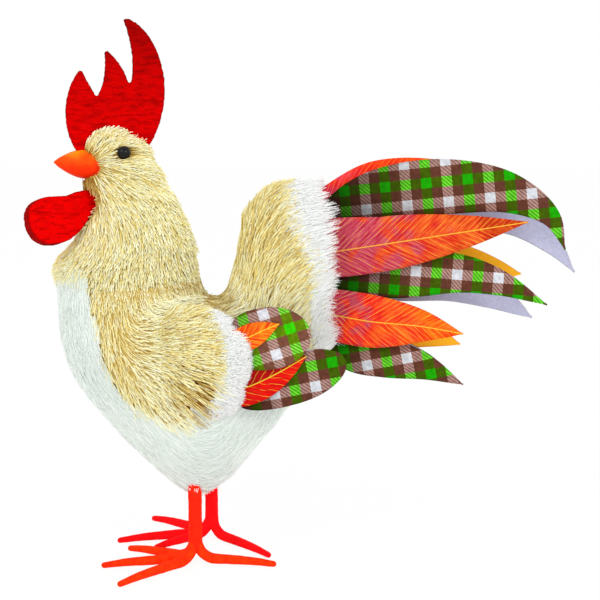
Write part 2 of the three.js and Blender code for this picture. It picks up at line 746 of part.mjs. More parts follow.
const neckCoat = mainBody(cut(coatOf(0, NECK_COAT_END), ...headRooms, ...eyeRooms));
const rumpCoat = coatOf(RUMP_COAT_START, FRINGE_START);
const tailFringe = cut(bodyLength(FRINGE_START, LAST, 0, HALF_GAP, 0), foamRoom, fringeRoom, ...tailRooms);

const coats = addGroup('coats');
addPiece(coats, 'neck_coat',
  withStrands(neckCoat, bodyStrands(0.9, NECK_COAT_END - 0.3, 11, 15), neckObstacles), COLOURS.straw);
addPiece(coats, 'saddle_coat', middleCoat.intersect(saddlePatch(SADDLE_RADIUS)), COLOURS.straw);
addPiece(coats, 'belly_coat',
  cut(middleCoat, saddlePatch(SADDLE_RADIUS + CLEARANCE), ...shankRooms), COLOURS.white);
addPiece(coats, 'rump_coat',
  withStrands(rumpCoat, bodyStrands(RUMP_COAT_START + 0.2, FRINGE_START - 0.5, 6, 18), rumpObstacles),
  COLOURS.straw);
addPiece(coats, 'tail_fringe', mainBody(tailFringe), COLOURS.white);

// Head
const head = addGroup('head');
addPiece(head, 'comb', cut(comb(), beak(CLEARANCE)), COLOURS.felt);
addPiece(head, 'wattle', cut(wattle(), beak(CLEARANCE)), COLOURS.felt);
addPiece(head, 'beak', beak(), COLOURS.beak, 0.45);
for (const side of [-1, 1]) addPiece(head, `eye${sideName(side)}`, eye(side), COLOURS.bead, 0.08);

// Wings
const wings = addGroup('wings');
const wingFeathers = everyFeather(WING_FEATHERS);
for (const side of [-1, 1]) {
  const rooms = WING_FEATHERS.map((spec) => feather(spec, side, CLEARANCE));
  const blank = cut(wingBlank(side), bodyRoom, ...rooms);
  const fringe = mainBody(cut(blank, wingFore(HALF_GAP)));
  const pad = mainBody(blank.intersect(wingFore(-HALF_GAP)));
  const coated = withStrands(pad, wingStrands(side, 7, 10), fringe);
  addPiece(wings, `wing_pad${sideName(side)}`, coated, COLOURS.straw);
  addPiece(wings, `wing_fringe${sideName(side)}`, fringe, COLOURS.white);
}
for (const { spec, side } of wingFeathers) {
  addPiece(wings, spec.name + sideName(side), feather(spec, side), COLOURS[spec.cloth], 0.75);
}

// Tail
const tail = addGroup('tail');
for (const { spec, side } of tailFeathers) {
  addPiece(tail, spec.name + sideName(side), feather(spec, side), COLOURS[spec.cloth], 0.75);
}

// Legs
const stand = addGroup('legs');
legs.forEach(({ side, shank, wire, shankRoom }, index) => {
  addPiece(stand, `shank${sideName(side)}`, shank, COLOURS.wrap, 0.6);
  addPiece(stand, `leg_wire${sideName(side)}`, wire, COLOURS.wire, 0.4, 1);
  for (const [name, solid] of Object.entries(footToes(FEET[index], shankRoom))) {
    addPiece(stand, `toe_${name}${sideName(side)}`, solid, COLOURS.wrap, 0.6);
  }
});

// The origin is on the ground, under the middle of the figure's box.
const extent = new THREE.Box3().setFromObject(rooster);
const middle = extent.getCenter(new THREE.Vector3());
rooster.children.forEach((group) => group.position.set(-middle.x, -middle.y, -extent.min.z));

export default rooster;
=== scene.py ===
"""Dresses the packed straw rooster: bristle coats, felt, beads, wrapped legs and cloth feathers."""
import math
from collections import namedtuple

import bmesh
import bpy
import numpy as np
from bpy.props import FloatProperty, FloatVectorProperty, IntProperty, PointerProperty
from mathutils import Matrix, Vector, noise

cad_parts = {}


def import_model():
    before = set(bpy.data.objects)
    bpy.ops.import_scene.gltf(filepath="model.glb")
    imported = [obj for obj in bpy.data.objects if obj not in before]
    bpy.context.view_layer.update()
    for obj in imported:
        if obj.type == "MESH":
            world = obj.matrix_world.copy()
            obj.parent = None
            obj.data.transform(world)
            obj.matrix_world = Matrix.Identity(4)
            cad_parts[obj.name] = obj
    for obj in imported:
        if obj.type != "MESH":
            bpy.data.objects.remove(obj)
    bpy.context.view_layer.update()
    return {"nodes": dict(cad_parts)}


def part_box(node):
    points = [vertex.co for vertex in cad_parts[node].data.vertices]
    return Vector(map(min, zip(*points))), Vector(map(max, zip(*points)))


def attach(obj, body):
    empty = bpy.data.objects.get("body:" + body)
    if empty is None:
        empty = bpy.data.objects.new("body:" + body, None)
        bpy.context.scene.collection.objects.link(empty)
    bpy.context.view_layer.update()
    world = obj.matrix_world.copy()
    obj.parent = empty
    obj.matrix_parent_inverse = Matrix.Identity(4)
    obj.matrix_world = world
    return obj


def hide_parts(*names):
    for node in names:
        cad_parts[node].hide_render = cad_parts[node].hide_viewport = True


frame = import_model()

bl_info = {
    "name": "Straw Rooster Figure",
    "version": (1, 0, 0),
    "blender": (4, 5, 0),
    "location": "View3D > Sidebar > Rooster",
    "description": "Dresses the packed rooster in bristle, felt, beads, wrapped wire and cloth",
    "category": "Object",
}

# The drawing: millimetres, the beak to -X, the left side to -Y, Y 0 on the plane of symmetry.

MM = 0.001
ROUND = (0.0, 2 * math.pi)
SHANK_X = -61.5  # between the two shanks, in the drawing
SIDES = {"left": -1, "right": 1}
LEG_SPREAD, LEG_STAGGER = 53.0, 3.0

HEAD = np.array((-113.0, 0.0, 250.5))  # the head turns about the upright through this point
HEAD_TURN = math.radians(12)
BEAK_BASE = np.array((-127.0, 0.0, 244.8))
BEAK_TIP = -151.7
BEAK_LENGTH, BEAK_HEIGHT, BEAK_RADIUS = 29.0, 245.0, 9.0
COMB_HALF = 2.6  # bristles are parted this far to either side of the middle of the comb
BEAK_SEAT = 9.4  # half the height of the gap in the bristles round the beak
EYE = (-109.0, 14.5, 251.8)
EYE_RADIUS, EYE_STEM, EYE_OPENING = 4.2, 1.2, 3.7

# Oval sections of the body: back line x, z, breast line x, z, and half the width
SECTIONS = np.array((
    (-117.4, 267.5, -125.4, 265.5, 5.0),
    (-105.4, 261.7, -133.7, 254.7, 13.5),
    (-91.5, 253.8, -136.0, 241.8, 17.0),
    (-79.8, 234.1, -134.4, 222.9, 20.0),
    (-69.5, 213.2, -138.9, 204.3, 25.0),
    (-65.0, 191.2, -154.2, 183.5, 33.0),
    (-61.5, 169.9, -153.8, 160.0, 39.0),
    (-58.5, 164.1, -142.5, 114.9, 43.0),
    (-56.0, 163.1, -107.7, 70.1, 45.0),
    (-53.5, 162.8, -74.1, 38.6, 45.0),
    (-50.5, 163.5, -51.3, 40.1, 44.0),
    (-46.5, 167.0, -20.4, 76.2, 41.0),
    (-41.0, 181.0, -2.0, 100.8, 35.0),
    (-33.0, 209.5, 6.1, 110.7, 31.0),
    (-17.0, 228.5, 13.1, 119.5, 30.0),
    (13.0, 235.9, 24.6, 133.5, 31.0),
))
BACK_LINE = SECTIONS[:, (0, 4, 1)]
BREAST_LINE = SECTIONS[:, (2, 4, 3)]
# Places along the sections where the coats begin and end
BELLY_START, NECK_END, RUMP_START, FRINGE_START = 4.9, 5.85, 11.6, 13.9
RUMP_SHELL_END, TAIL_FACE, RUMP_END = 14.6, 14.75, 14.8
STRAW_FLOOR, ALL_STRAW = 89, 181  # no straw below the first height, no white on the body above the second
# Edges of the rump's straw and of the tail's white fringe: heights, and x of either at them
RUMP_HEIGHTS = (120, 144, 153, 171, 180, 189, 207, 231)
STRAW_EDGE = (6, 6, 6, 7, 8, 5, -6, -14)
WHITE_EDGE = (9, 9, 8, 7, 7, 4, -7, -15)

Oval = namedtuple("Oval", "centre half tilt toe")  # tilt lifts the rear end, toe turns it outwards
WINGS = {
    "left": Oval((-64.0, 38.0, 125.5), (40.0, 15.5, 35.0), 12, 8),
    "right": Oval((-64.0, 38.0, 122.5), (40.0, 15.5, 33.0), 8, 8),  # sheared a little lower
}
FAN_ROOT = (-118, 140)  # x, z from which the straw of a wing fans out
FRINGE_FLARE = 4.0  # the white part of a wing flares out over the feathers' stems
FLARE_START, FLARE_RUN = -46, 18  # x where that begins, and over how much it builds up
SHOULDER, SHOULDER_REACH, SHOULDER_SWELL = (-84, 136), 37, 8.0  # x, z of the fullest point
SADDLE, SADDLE_REACH = (-54, 162.5), 62  # x, z of the middle of the saddle's straw
THIGH_TOP, THIGH_REACH, THIGH_HANG = 85, 15.5, 6.0
KEEL_TOP, KEEL_LIFT = 75, 0.15  # what lies lower than the first is lifted by a share
BREAST_TRIM = 3.4  # breast and nape are sheared closer than the solids
NAPE_TRIM = (  # heights, and the trim at them
    (200, 210, 222, 230, 238, 246, 250, 254, 260, 266),
    (0, 1.8, 3.0, 3.0, 3.8, 4.2, 5.4, 6.2, 4.0, 0))

FEATHER_TAPER = 1.7
Feather = namedtuple(
    "Feather", "name cloth half widest line out droop stretch rounded check far_taper far_tip",
    defaults=(FEATHER_TAPER, None))
# check is a crossing of two white stripes, x, z, and the turn of the cloth in degrees
TAIL_FEATHERS = (
    Feather("tail_leaf_top", "leaf", 10, 0.4,
            ((14, 219.5), (39.5, 234.5), (61, 241.5), (86.3, 247.5)), (0, 0), 0, 1, False, None),
    Feather("tail_plaid_top", "plaid", 16.8, 0.42,
            ((14.5, 216.5), (49.5, 227.5), (91, 231.9), (126.6, 228.2), (151, 214.3), (160, 194.9)),
            (7, 14), 8, 1.05, False, (90.4, 223.0, 6), FEATHER_TAPER, (169.5, 178.0)),
    Feather("tail_leaf_upper", "leaf", 16.5, 0.28,
            ((15, 191.5), (44, 196.5), (85.4, 203.5), (136.8, 212)), (14, 23), 17, 1, False, None, 3.0),
    Feather("tail_plaid_middle", "plaid", 13, 0.46,
            ((14.6, 173.3), (59.7, 176.5), (94.7, 179.9), (122, 174.2), (150, 161.5)),
            (9, 15), 5.6, 0.97, False, (96.0, 179.2, -4), 2.3),
    Feather("tail_leaf_lower", "leaf", 16.5, 0.3,
            ((14.8, 154.5), (44.3, 150.2), (74.6, 148), (100, 143.9)), (11, 19), 8.4, 1.03, False, None),
    Feather("tail_plaid_lower", "plaid", 13.5, 0.36,
            ((13.5, 145.9), (30.5, 132), (52.3, 127.3), (78, 121.5), (100.8, 111.3)),
            (5, 12), 2.5, 1, False, (42.1, 122.0, 12)),
)
WING_FEATHERS = (
    Feather("wing_plaid_lower", "plaid", 15.5, 0.5,
            ((-37, 112.5), (-16, 116.5), (7, 123), (30.3, 131.5)),
            (45.5, 45.5), 0, 1, True, (12.5, 115.8, 11.5)),
    Feather("wing_leaf_lower", "leaf", 11, 0.3,
            ((-36, 112), (-23.4, 117), (-8, 124.9), (7, 134)), (46.8, 46.8), 0, 1, False, None),
    Feather("wing_plaid_upper", "plaid", 18.5, 0.45,
            ((-35.6, 140.5), (-19.4, 144), (-4.2, 145.7), (10, 146.5)),
            (48.1, 48.1), 0, 1, True, (-10.5, 135.1, 18)),
    Feather("wing_leaf_upper", "leaf", 7.5, 0.38,
            ((-36.4, 141.5), (-27.8, 145), (-18.3, 149.5), (-8.8, 153.5)), (49.4, 49.4), 0, 1, False, None),
)
FEATHER_CUP = 2.0

WATTLE_HINGE, WATTLE_TURN, WATTLE_ROLL, WATTLE_STRETCH = (-127, 0, 224.5), 26, -12, 1.05
SHANK_TOP, SHANK_END = 60, 8
TAPE_TURN = 7  # tape wound at this many millimetres to the turn

# Toe headings in degrees from straight ahead towards the figure's left, and lengths
TOES = {
    "left": {"outer": (51, 62), "middle": (15, 58), "inner": (-23, 50), "back": (174, 51)},
    "right": {"inner": (45, 46), "middle": (18, 62), "outer": (-35, 55), "back": (135, 60)},
}


def drawing_origin():
    """Where the drawing's origin lies in the row frame, from the middle of the two shanks."""
    corners = [*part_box("shank_left"), *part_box("shank_right")]
    middle = sum(corners, Vector()) / len(corners)
    return np.array((middle.x / MM - SHANK_X, middle.y / MM, 0.0))


ORIGIN = drawing_origin()


def world(points):
    """Drawing millimetres to row-frame metres."""
    return (np.asarray(points, float) + ORIGIN) * MM


def drawn(points):
    """Row-frame metres to drawing millimetres."""
    return np.asarray(points, float) / MM - ORIGIN


def sided(point, side):
    """A point on the right of the plane of symmetry, taken to a side."""
    return np.array(point) * (1, side, 1)


def between(ends, share):
    return ends[0] + (ends[1] - ends[0]) * share


def ink(code):
    """An sRGB hex colour as linear red, green, blue and alpha."""
    parts = [int(code[i:i + 2], 16) / 255 for i in (1, 3, 5)]
    return (*(c / 12.92 if c <= 0.04045 else ((c + 0.055) / 1.055) ** 2.4 for c in parts), 1.0)


def per(millimetres):
    """Repeats in a metre of a pattern of that size."""
    return 1.0 / (millimetres * MM)


def unit(vectors):
    return vectors / np.maximum(np.linalg.norm(vectors, axis=-1, keepdims=True), 1e-9)


def smooth_line(points, places):
    """Points of a smooth line through the given ones, at places counted from the first."""
    points, places = np.asarray(points, float), np.asarray(places, float)
    ends = np.vstack((2 * points[0] - points[1], points, 2 * points[-1] - points[-2]))
    start = np.clip(places.astype(int), 0, len(points) - 2)
    way = (places - start)[..., None]
    p0, p1, p2, p3 = (ends[start + step] for step in range(4))
    d0, d1, d2 = (np.linalg.norm(b - a, axis=-1, keepdims=True) ** 0.5 + 1e-9
                  for a, b in ((p0, p1), (p1, p2), (p2, p3)))
    leave = ((p1 - p0) / d0 - (p2 - p0) / (d0 + d1) + (p2 - p1) / d1) * d1
    arrive = ((p2 - p1) / d1 - (p3 - p1) / (d1 + d2) + (p3 - p2) / d2) * d1
    return (p1 + leave * way + (3 * (p2 - p1) - 2 * leave - arrive) * way ** 2
            + (2 * (p1 - p2) + leave + arrive) * way ** 3)


def even_line(points, count):
    """A smooth line through the points, as points evenly spaced along it, with its length."""
    fine = smooth_line(points, np.linspace(0, len(points) - 1, 600))
    run = np.concatenate(((0.0,), np.cumsum(np.linalg.norm(np.diff(fine, axis=0), axis=1))))
    stops = np.linspace(0, run[-1], count)
    return np.column_stack([np.interp(stops, run, fine[:, axis]) for axis in range(3)]), run[-1]


def shank_foot(side):
    """Where the line of a shank meets the ground."""
    return np.array((SHANK_X + side * LEG_STAGGER / 2, side * LEG_SPREAD / 2, 0.0))


def lofted(place, turn, inset=0.0):
    """The body through its sections: turn 0 is on the back line and a half turn on the breast line."""
    back, breast = smooth_line(BACK_LINE, place), smooth_line(BREAST_LINE, place)
    half = back[..., 1] - inset
    flat = np.array((1.0, 0.0, 1.0))
    chord = (breast - back) * flat
    length = np.linalg.norm(chord, axis=-1)
    reach = (length / 2 - inset) * np.cos(turn)
    point = (back + breast) * flat / 2 - chord / length[..., None] * reach[..., None]
    point[..., 1] = half * np.sin(turn)
    return point


def body(place, turn, inset=0.0):
    """The body's sheared surface: full at the shoulders, close at breast and nape, and hanging round
    the shanks."""
    x, y, z = np.moveaxis(lofted(place, turn, inset), -1, 0)
    breast = np.clip((-128 - x) / 15, 0, 1) * np.exp(-((z - 173) / 26) ** 2)
    x = x + BREAST_TRIM * breast - np.clip((x + 102) / 14, 0, 1) * np.interp(z, *NAPE_TRIM)
    z = z + KEEL_LIFT * np.maximum(KEEL_TOP - z, 0)
    off_x, off_z = (x - SHOULDER[0]) / SHOULDER_REACH, (z - SHOULDER[1]) / SHOULDER_REACH
    swell = SHOULDER_SWELL * np.exp(-off_x ** 2 - off_z ** 2)
    wide = y + np.clip(y / 25, -1, 1) * swell
    low = np.clip((THIGH_TOP - z) / 20, 0, 1)
    for side in SIDES.values():
        leg = shank_foot(side)
        apart = np.hypot(x - leg[0], y - leg[1])
        z = z - THIGH_HANG * low * np.exp(-(apart / THIGH_REACH) ** 2)
    return np.stack((x, wide, z), axis=-1)


def oval_turn(oval, side):
    toe, tilt = math.radians(side * oval.toe), math.radians(-oval.tilt)
    return np.array(Matrix.Rotation(toe, 3, "Z") @ Matrix.Rotation(tilt, 3, "Y"))


def oval_surface(oval, side):
    """A pad on one side, by the angle from its outermost point and the angle round it."""
    def surface(lean, turn, inset=0.0):
        ball = (np.sin(lean) * np.cos(turn), side * np.cos(lean), np.sin(lean) * np.sin(turn))
        point = np.stack(ball, axis=-1) * (np.array(oval.half) - inset)
        return point @ oval_turn(oval, side).T + sided(oval.centre, side)
    return surface


def oval_shell(oval, side, inset, squeeze=1.0, shift=0.0):
    """The ground under a pad's bristles, squeezed in length and shifted along if told so."""
    bm = bmesh.new()
    half = (np.array(oval.half) - inset) * (squeeze, 1, 1) * MM
    place = Matrix(oval_turn(oval, side)).to_4x4() @ Matrix.Diagonal((*half, 1.0))
    place = Matrix.Translation(world(sided(oval.centre, side) + (shift, 0, 0))) @ place
    bmesh.ops.create_uvsphere(bm, u_segments=40, v_segments=24, radius=1.0, matrix=place)
    return bm


def flared(points, side):
    """Points of a wing, moved out where its white part flares and along to the end of its crescent."""
    share = np.clip((points[..., 0] - FLARE_START) / FLARE_RUN, 0, 1)
    share = share ** 2 * (3 - 2 * share)
    reach = np.interp(points[..., 2], (100, 107, 115, 125, 133, 142, 150),
                      (0, -1.2, -4.7, -2.6, -1.7, 0.4, 2.1))
    aside = np.full(share.shape, side * FRINGE_FLARE)
    return points + share[..., None] * np.stack((reach, aside, np.zeros(share.shape)), axis=-1)


def upright_end(points):
    """Points of the tail's white fringe, moved so that its end stands upright: fuller above and
    shorter below."""
    x, z = points[..., 0], points[..., 2]
    reach = np.interp(z, (137, 152, 167, 178, 191, 207, 221, 233), (-3, -6.8, -4.3, 0.4, 0, 3.7, 8.5, 1.0))
    moved = points.copy()
    moved[..., 0] = x + np.clip((x - 8) / 12, 0, 1) * reach
    return moved


def turn_head(points, back=False):
    """Turns points with the head, or back to where the head looks straight ahead."""
    angle = -HEAD_TURN if back else HEAD_TURN
    c, s = math.cos(angle), math.sin(angle)
    p = np.asarray(points, float) - HEAD
    return np.stack((p[..., 0] * c - p[..., 1] * s, p[..., 0] * s + p[..., 1] * c, p[..., 2]), axis=-1) + HEAD


def piece(name, mesh, slot, nodes, *materials):
    """Shows a mesh as a piece that stands for CAD nodes."""
    for material in materials:
        mesh.materials.append(material)
    obj = bpy.data.objects.new(name, mesh)
    bpy.context.scene.collection.objects.link(obj)
    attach(obj, "root")
    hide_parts(*nodes)
    return obj


def mesh_from(bm, name, smooth=True):
    mesh = bpy.data.meshes.new(name)
    bm.to_mesh(mesh)
    bm.free()
    mesh.polygons.foreach_set("use_smooth", [smooth] * len(mesh.polygons))
    return mesh


def bridge(bm, loops):
    """Joins each ring of edges to the next."""
    for here, ahead in zip(loops, loops[1:]):
        bmesh.ops.bridge_loops(bm, edges=list(here | ahead))


# Bristles

Roots = namedtuple("Roots", "point normal lay first second")


def sprout(surface, first, second):
    """Points of a surface with their normals and the way that they run as the first measure grows."""
    step = 0.004
    point = surface(first, second)
    ahead = surface(first + step, second) - surface(first - step, second)
    around = surface(first, second + step) - surface(first, second - step)
    normal = unit(np.cross(ahead, around))
    outward = point - surface(first, second, 1.0)
    normal *= np.sign(np.sum(normal * outward, axis=-1, keepdims=True))
    return Roots(point, normal, unit(ahead), first, second), np.linalg.norm(np.cross(ahead, around), axis=-1)


def scatter(rng, surface, count, firsts, seconds):
    """Roots strewn evenly by area over a stretch of a surface."""
    a, b = np.linspace(*firsts, 121), np.linspace(*seconds, 121)
    middles = ((edges[1:] + edges[:-1]) / 2 for edges in (a, b))
    grid_a, grid_b = (grid.ravel() for grid in np.meshgrid(*middles, indexing="ij"))
    _, area = sprout(surface, grid_a, grid_b)
    share = np.cumsum(area)
    picks = np.searchsorted(share, (np.arange(count) + rng.random(count)) / count * share[-1])
    picks = np.minimum(picks, len(share) - 1)
    first = grid_a[picks] + (rng.random(count) - 0.5) * (a[1] - a[0])
    second = grid_b[picks] + (rng.random(count) - 0.5) * (b[1] - b[0])
    return sprout(surface, first, second)[0]


def heading(degrees):
    """Directions along the side of the body, turned up from the way to the tail."""
    angle = np.radians(degrees)
    return np.stack((np.cos(angle), np.zeros(len(angle)), np.sin(angle)), axis=-1)


def kept(roots, mask):
    return Roots(*(part[mask] for part in roots))


def combed(roots, lay):
    """The same roots with their bristles laid along another direction, flat to the surface."""
    flat = lay - roots.normal * np.sum(lay * roots.normal, axis=-1, keepdims=True)
    return roots._replace(lay=unit(flat))


def grow(rng, roots, length, lift, stray=9.0, sink=None, above=(0.4, 1.9), droop=0.5, tone=(0.0, 1.0)):
    """Bristles as three points each, with tones: length and lift are low and high ends or arrays.
    The coat is sheared, so the tips stand at about one height, unless the roots are at a given depth."""
    count = len(roots.point)
    spread = rng.random((5, count))
    size = between(length, spread[0])[:, None]
    rise = np.radians(between(lift, spread[1]))[:, None]
    across = np.cross(roots.normal, roots.lay)
    swing = np.radians(rng.normal(0.0, stray, count))[:, None]
    lay = roots.lay * np.cos(swing) + across * np.sin(swing)
    start = lay * np.cos(rise) + roots.normal * np.sin(rise)
    later = rise * (1 - droop) - np.radians(6.0 * (spread[2] - 0.5))[:, None]
    bend = np.radians(rng.normal(0.0, stray * 0.6, count))[:, None]
    end = (lay * np.cos(bend) + across * np.sin(bend)) * np.cos(later) + roots.normal * np.sin(later)
    if sink is None:
        sink = size * (np.sin(rise) + np.sin(later)) / 2 - between(above, spread[4])[:, None]
    foot = roots.point - roots.normal * sink
    knee = foot + start * size * 0.5
    tip = knee + unit(end) * size * 0.5
    return np.stack((foot, knee, tip), axis=1), between(tone, spread[3])


def strand_shape(knee):
    """One bristle, upright: a three-sided prism, with a knee half way where it shows."""
    bm = bmesh.new()
    bmesh.ops.create_cone(bm, cap_ends=True, cap_tris=False, segments=3, radius1=1, radius2=1, depth=1)
    upright = [e for e in bm.edges if abs(e.verts[0].co.z - e.verts[1].co.z) > 0.5]
    if knee:
        bmesh.ops.subdivide_edges(bm, edges=upright, cuts=1)
    bm.verts.index_update()
    corners = np.array([v.co for v in bm.verts])
    faces = [[v.index for v in f.verts] for f in bm.faces]
    bm.free()
    corners[:, 2] += 0.5
    return corners, faces


def coat(name, shell, growths, width, tip_share, shell_tone=0.15, knee=True):
    """One mesh of a shell and the bristles on it. The copies of the bristle are placed as arrays,
    because tens of thousands are needed."""
    shape, shape_faces = strand_shape(knee)
    curve = np.concatenate([g[0] for g in growths])
    shade = np.concatenate([g[1] for g in growths])
    count = len(curve)
    rng = np.random.default_rng(len(name) * 101)
    along = unit(curve[:, 2] - curve[:, 0])
    side = unit(np.cross(along, rng.normal(0, 1, (count, 3))))
    other = np.cross(along, side)
    way = shape[:, 2]
    level = np.rint(way * 2).astype(int)
    radius = width / 2 * (0.8 + 0.4 * rng.random(count))
    taper = np.array((1.0, 0.95, tip_share))[level]
    spoke = side[:, None, :] * shape[None, :, :1] + other[:, None, :] * shape[None, :, 1:2]
    corners = curve[:, level, :] + spoke * (radius[:, None] * taper[None, :])[..., None]
    shell.verts.index_update()
    verts = [tuple(v.co) for v in shell.verts]
    faces = [[v.index for v in f.verts] for f in shell.faces]
    base, ground = len(verts), len(faces)
    shell.free()
    verts += world(corners.reshape(-1, 3)).tolist()
    starts = base + np.arange(count)[:, None] * len(shape)
    for face in shape_faces:
        faces += (starts + np.array(face)[None, :]).tolist()
    mesh = bpy.data.meshes.new(name)
    mesh.from_pydata(verts, [], faces)
    mesh.polygons.foreach_set("use_smooth", [index < ground for index in range(len(faces))])
    values = {
        "tone": np.concatenate((np.full(base, shell_tone), np.repeat(shade, len(way)))),
        "way": np.concatenate((np.zeros(base), np.tile(way, count))),
    }
    for key, value in values.items():
        mesh.attributes.new(key, "FLOAT", "POINT").data.foreach_set("value", value.astype(np.float32))
    return mesh


def body_shell(first, last, inset, rings, keep=None):
    """The coat's ground under the bristles: a stretch of the body, closed, or the parts of it to keep."""
    bm = bmesh.new()
    count = 64
    turns = np.linspace(0, 2 * math.pi, count, endpoint=False)
    loops = []
    for place in np.linspace(first, last, rings):
        ring = bmesh.ops.create_circle(bm, segments=count, radius=1.0)["verts"]
        for vert, point in zip(ring, world(body(np.full(count, place), turns, inset))):
            vert.co = point
        loops.append({edge for vert in ring for edge in vert.link_edges})
    bridge(bm, loops)
    if keep is None:
        bmesh.ops.holes_fill(bm, edges=list(loops[0] | loops[-1]), sides=0)
        bmesh.ops.recalc_face_normals(bm, faces=bm.faces[:])
        return bm
    bmesh.ops.recalc_face_normals(bm, faces=bm.faces[:])
    centres = drawn([f.calc_center_median() for f in bm.faces])
    drop = [f for f, ok in zip(bm.faces[:], keep(centres)) if not ok]
    bmesh.ops.delete(bm, geom=drop, context="FACES")
    bmesh.ops.solidify(bm, geom=bm.faces[:], thickness=1.5 * MM)
    bmesh.ops.recalc_face_normals(bm, faces=bm.faces[:])
    return bm


def on_shoulder(points):
    """Straw below the neck: the saddle, the shoulder in front of the wing and what the wing covers."""
    x, z = points[..., 0], points[..., 2]
    front = np.interp(z, (STRAW_FLOOR, 95, 103, 112, 124, 142, 160, 176),
                      (-70, -87, -99, -108, -114, -118.5, -123, -126))
    rear = np.interp(z, (STRAW_FLOOR, 116, 128), (-66, -60, -36))
    saddle = (np.hypot(x - SADDLE[0], z - SADDLE[1]) < SADDLE_REACH) & (z > 116)
    return (z > STRAW_FLOOR) & (x > front) & ((x < rear) | saddle)


def on_straw(points):
    """Straw of the neck and of what lies below it; the rest of the body is white."""
    return on_shoulder(points) | (points[..., 2] > ALL_STRAW)


def covered(points):
    """Under a wing, well inside its pad, where no bristle would show."""
    oval = WINGS["left"]
    inside = np.zeros(len(points), bool)
    for side in SIDES.values():
        q = (points - sided(oval.centre, side)) @ oval_turn(oval, side)
        inside |= np.sum((q / (np.array(oval.half) * 0.93)) ** 2, axis=1) < 1
    return inside


def wing_fan(points):
    """The lie of the wing's straw: down at the shoulder, fanning out towards the tail."""
    x, z = points[:, 0] - FAN_ROOT[0], points[:, 2] - FAN_ROOT[1]
    low = np.degrees(np.arctan2(z, np.maximum(x, 4)))
    spread = np.where(z < 0, low, 0.9 * z)
    shoulder = np.clip((22 - x) / 14, 0, 1)
    return heading(spread * (1 - shoulder) - 65 * shoulder)


def beside_wing(points):
    """1 at the edge of a wing, falling to 0 some way off, so that the straw there joins the wing's."""
    wing = WINGS["left"]
    apart = (points - np.array(wing.centre)) / np.array(wing.half)
    return np.clip((1.5 - np.hypot(apart[:, 0], apart[:, 2])) / 0.4, 0, 1)[:, None]


def joined_to_wing(roots):
    """The same roots, combed beside a wing like the wing's own straw."""
    join = beside_wing(roots.point)
    return combed(roots, wing_fan(roots.point) * join + roots.lay * (1 - join))


def body_roots(seed, count, first, last, keep):
    """The random draws of a coat and its roots over a stretch of the body, where they are to be kept."""
    rng = np.random.default_rng(seed)
    roots = scatter(rng, body, count, (first, last), ROUND)
    return rng, kept(roots, keep(roots.point))


def beak_swell(way):
    """The beak's radius at a share of its length from the tip, as a share of the widest."""
    return 0.1 + 0.9 * np.sin(np.minimum(way / 0.68, 1) * math.pi / 2)


def beak_edge(height):
    """How far back the cheek of the beak shows at a height, between the bristles over and under it."""
    above = height - 242
    return -123.5 - 9.5 * (above / (12 if above > 0 else 6.5)) ** 2


def beside_wattle(points):
    """On the left of the throat, where the bristles are cut away round the wattle, with the head
    straight ahead."""
    x, y, z = np.moveaxis(points, -1, 0)
    limit = np.interp(z, (198, 207.7, 214.6, 224, 231, 236), (-142, -135, -128.4, -124, -125, -134))
    return (y < 0) & (x < limit) & (z > 198) & (z < 236)


def clear_of_face(grown):
    """Leaves out bristles that would cover an eye or stand in the beak, parts them round the comb, and gives
    those on the throat under the beak a painted shadow.
    """
    curve, shade = grown
    halves = (curve[:, :-1] + curve[:, 1:]) / 2
    straight = turn_head(np.concatenate((curve, halves), axis=1), back=True)
    clear = np.ones(len(curve), bool)
    for side in SIDES.values():
        d = straight - sided(EYE, side)
        near = (np.hypot(d[..., 0], d[..., 2]) < EYE_OPENING) & (d[..., 1] * side > -4)
        clear &= ~near.any(axis=1)
    wide = (BEAK_RADIUS + 0.6) * beak_swell(np.clip((straight[..., 0] - BEAK_TIP) / BEAK_LENGTH, 0, 1))
    in_beak = (straight[..., 1] / wide) ** 2 + ((straight[..., 2] - BEAK_HEIGHT) / wide) ** 2 < 1
    clear &= ~(in_beak & (straight[..., 0] < -121))[:, 1:].all(axis=1)
    foot = straight[:, 0]
    edge = np.array([beak_edge(height) for height in foot[:, 2]])
    clear &= ~((foot[:, 0] < edge - 1.0) & (np.abs(foot[:, 2] - BEAK_HEIGHT) < BEAK_SEAT))
    clear &= ~beside_wattle(foot)
    knees = turn_head(curve, back=True)
    dome = np.interp(knees[..., 0], (-141, -134, -126, -112, -101, -91), (245, 251, 263, 264, 263.6, 255))
    knees[..., 2] = np.minimum(knees[..., 2], dome + np.outer(shade, (0.6, 1.6, 3.8)))
    side = np.sign(knees[:, :1, 1]) + (knees[:, :1, 1] == 0)
    by_comb = (knees[..., 2] > 248) & (knees[..., 0] > -141) & (knees[..., 0] < -88)
    pressed = by_comb & (knees[..., 1] * side < COMB_HALF)
    knees[..., 1] = np.where(pressed, side * (COMB_HALF + 0.4 * shade[:, None]), knees[..., 1])
    # painted shadow under the beak: the throat's bristles get a much darker tone
    throat = (foot[:, 0] < -126) & (foot[:, 2] > 222) & (foot[:, 2] < 237)
    return turn_head(knees)[clear], np.where(throat, shade * 0.15, shade)[clear]


# Materials

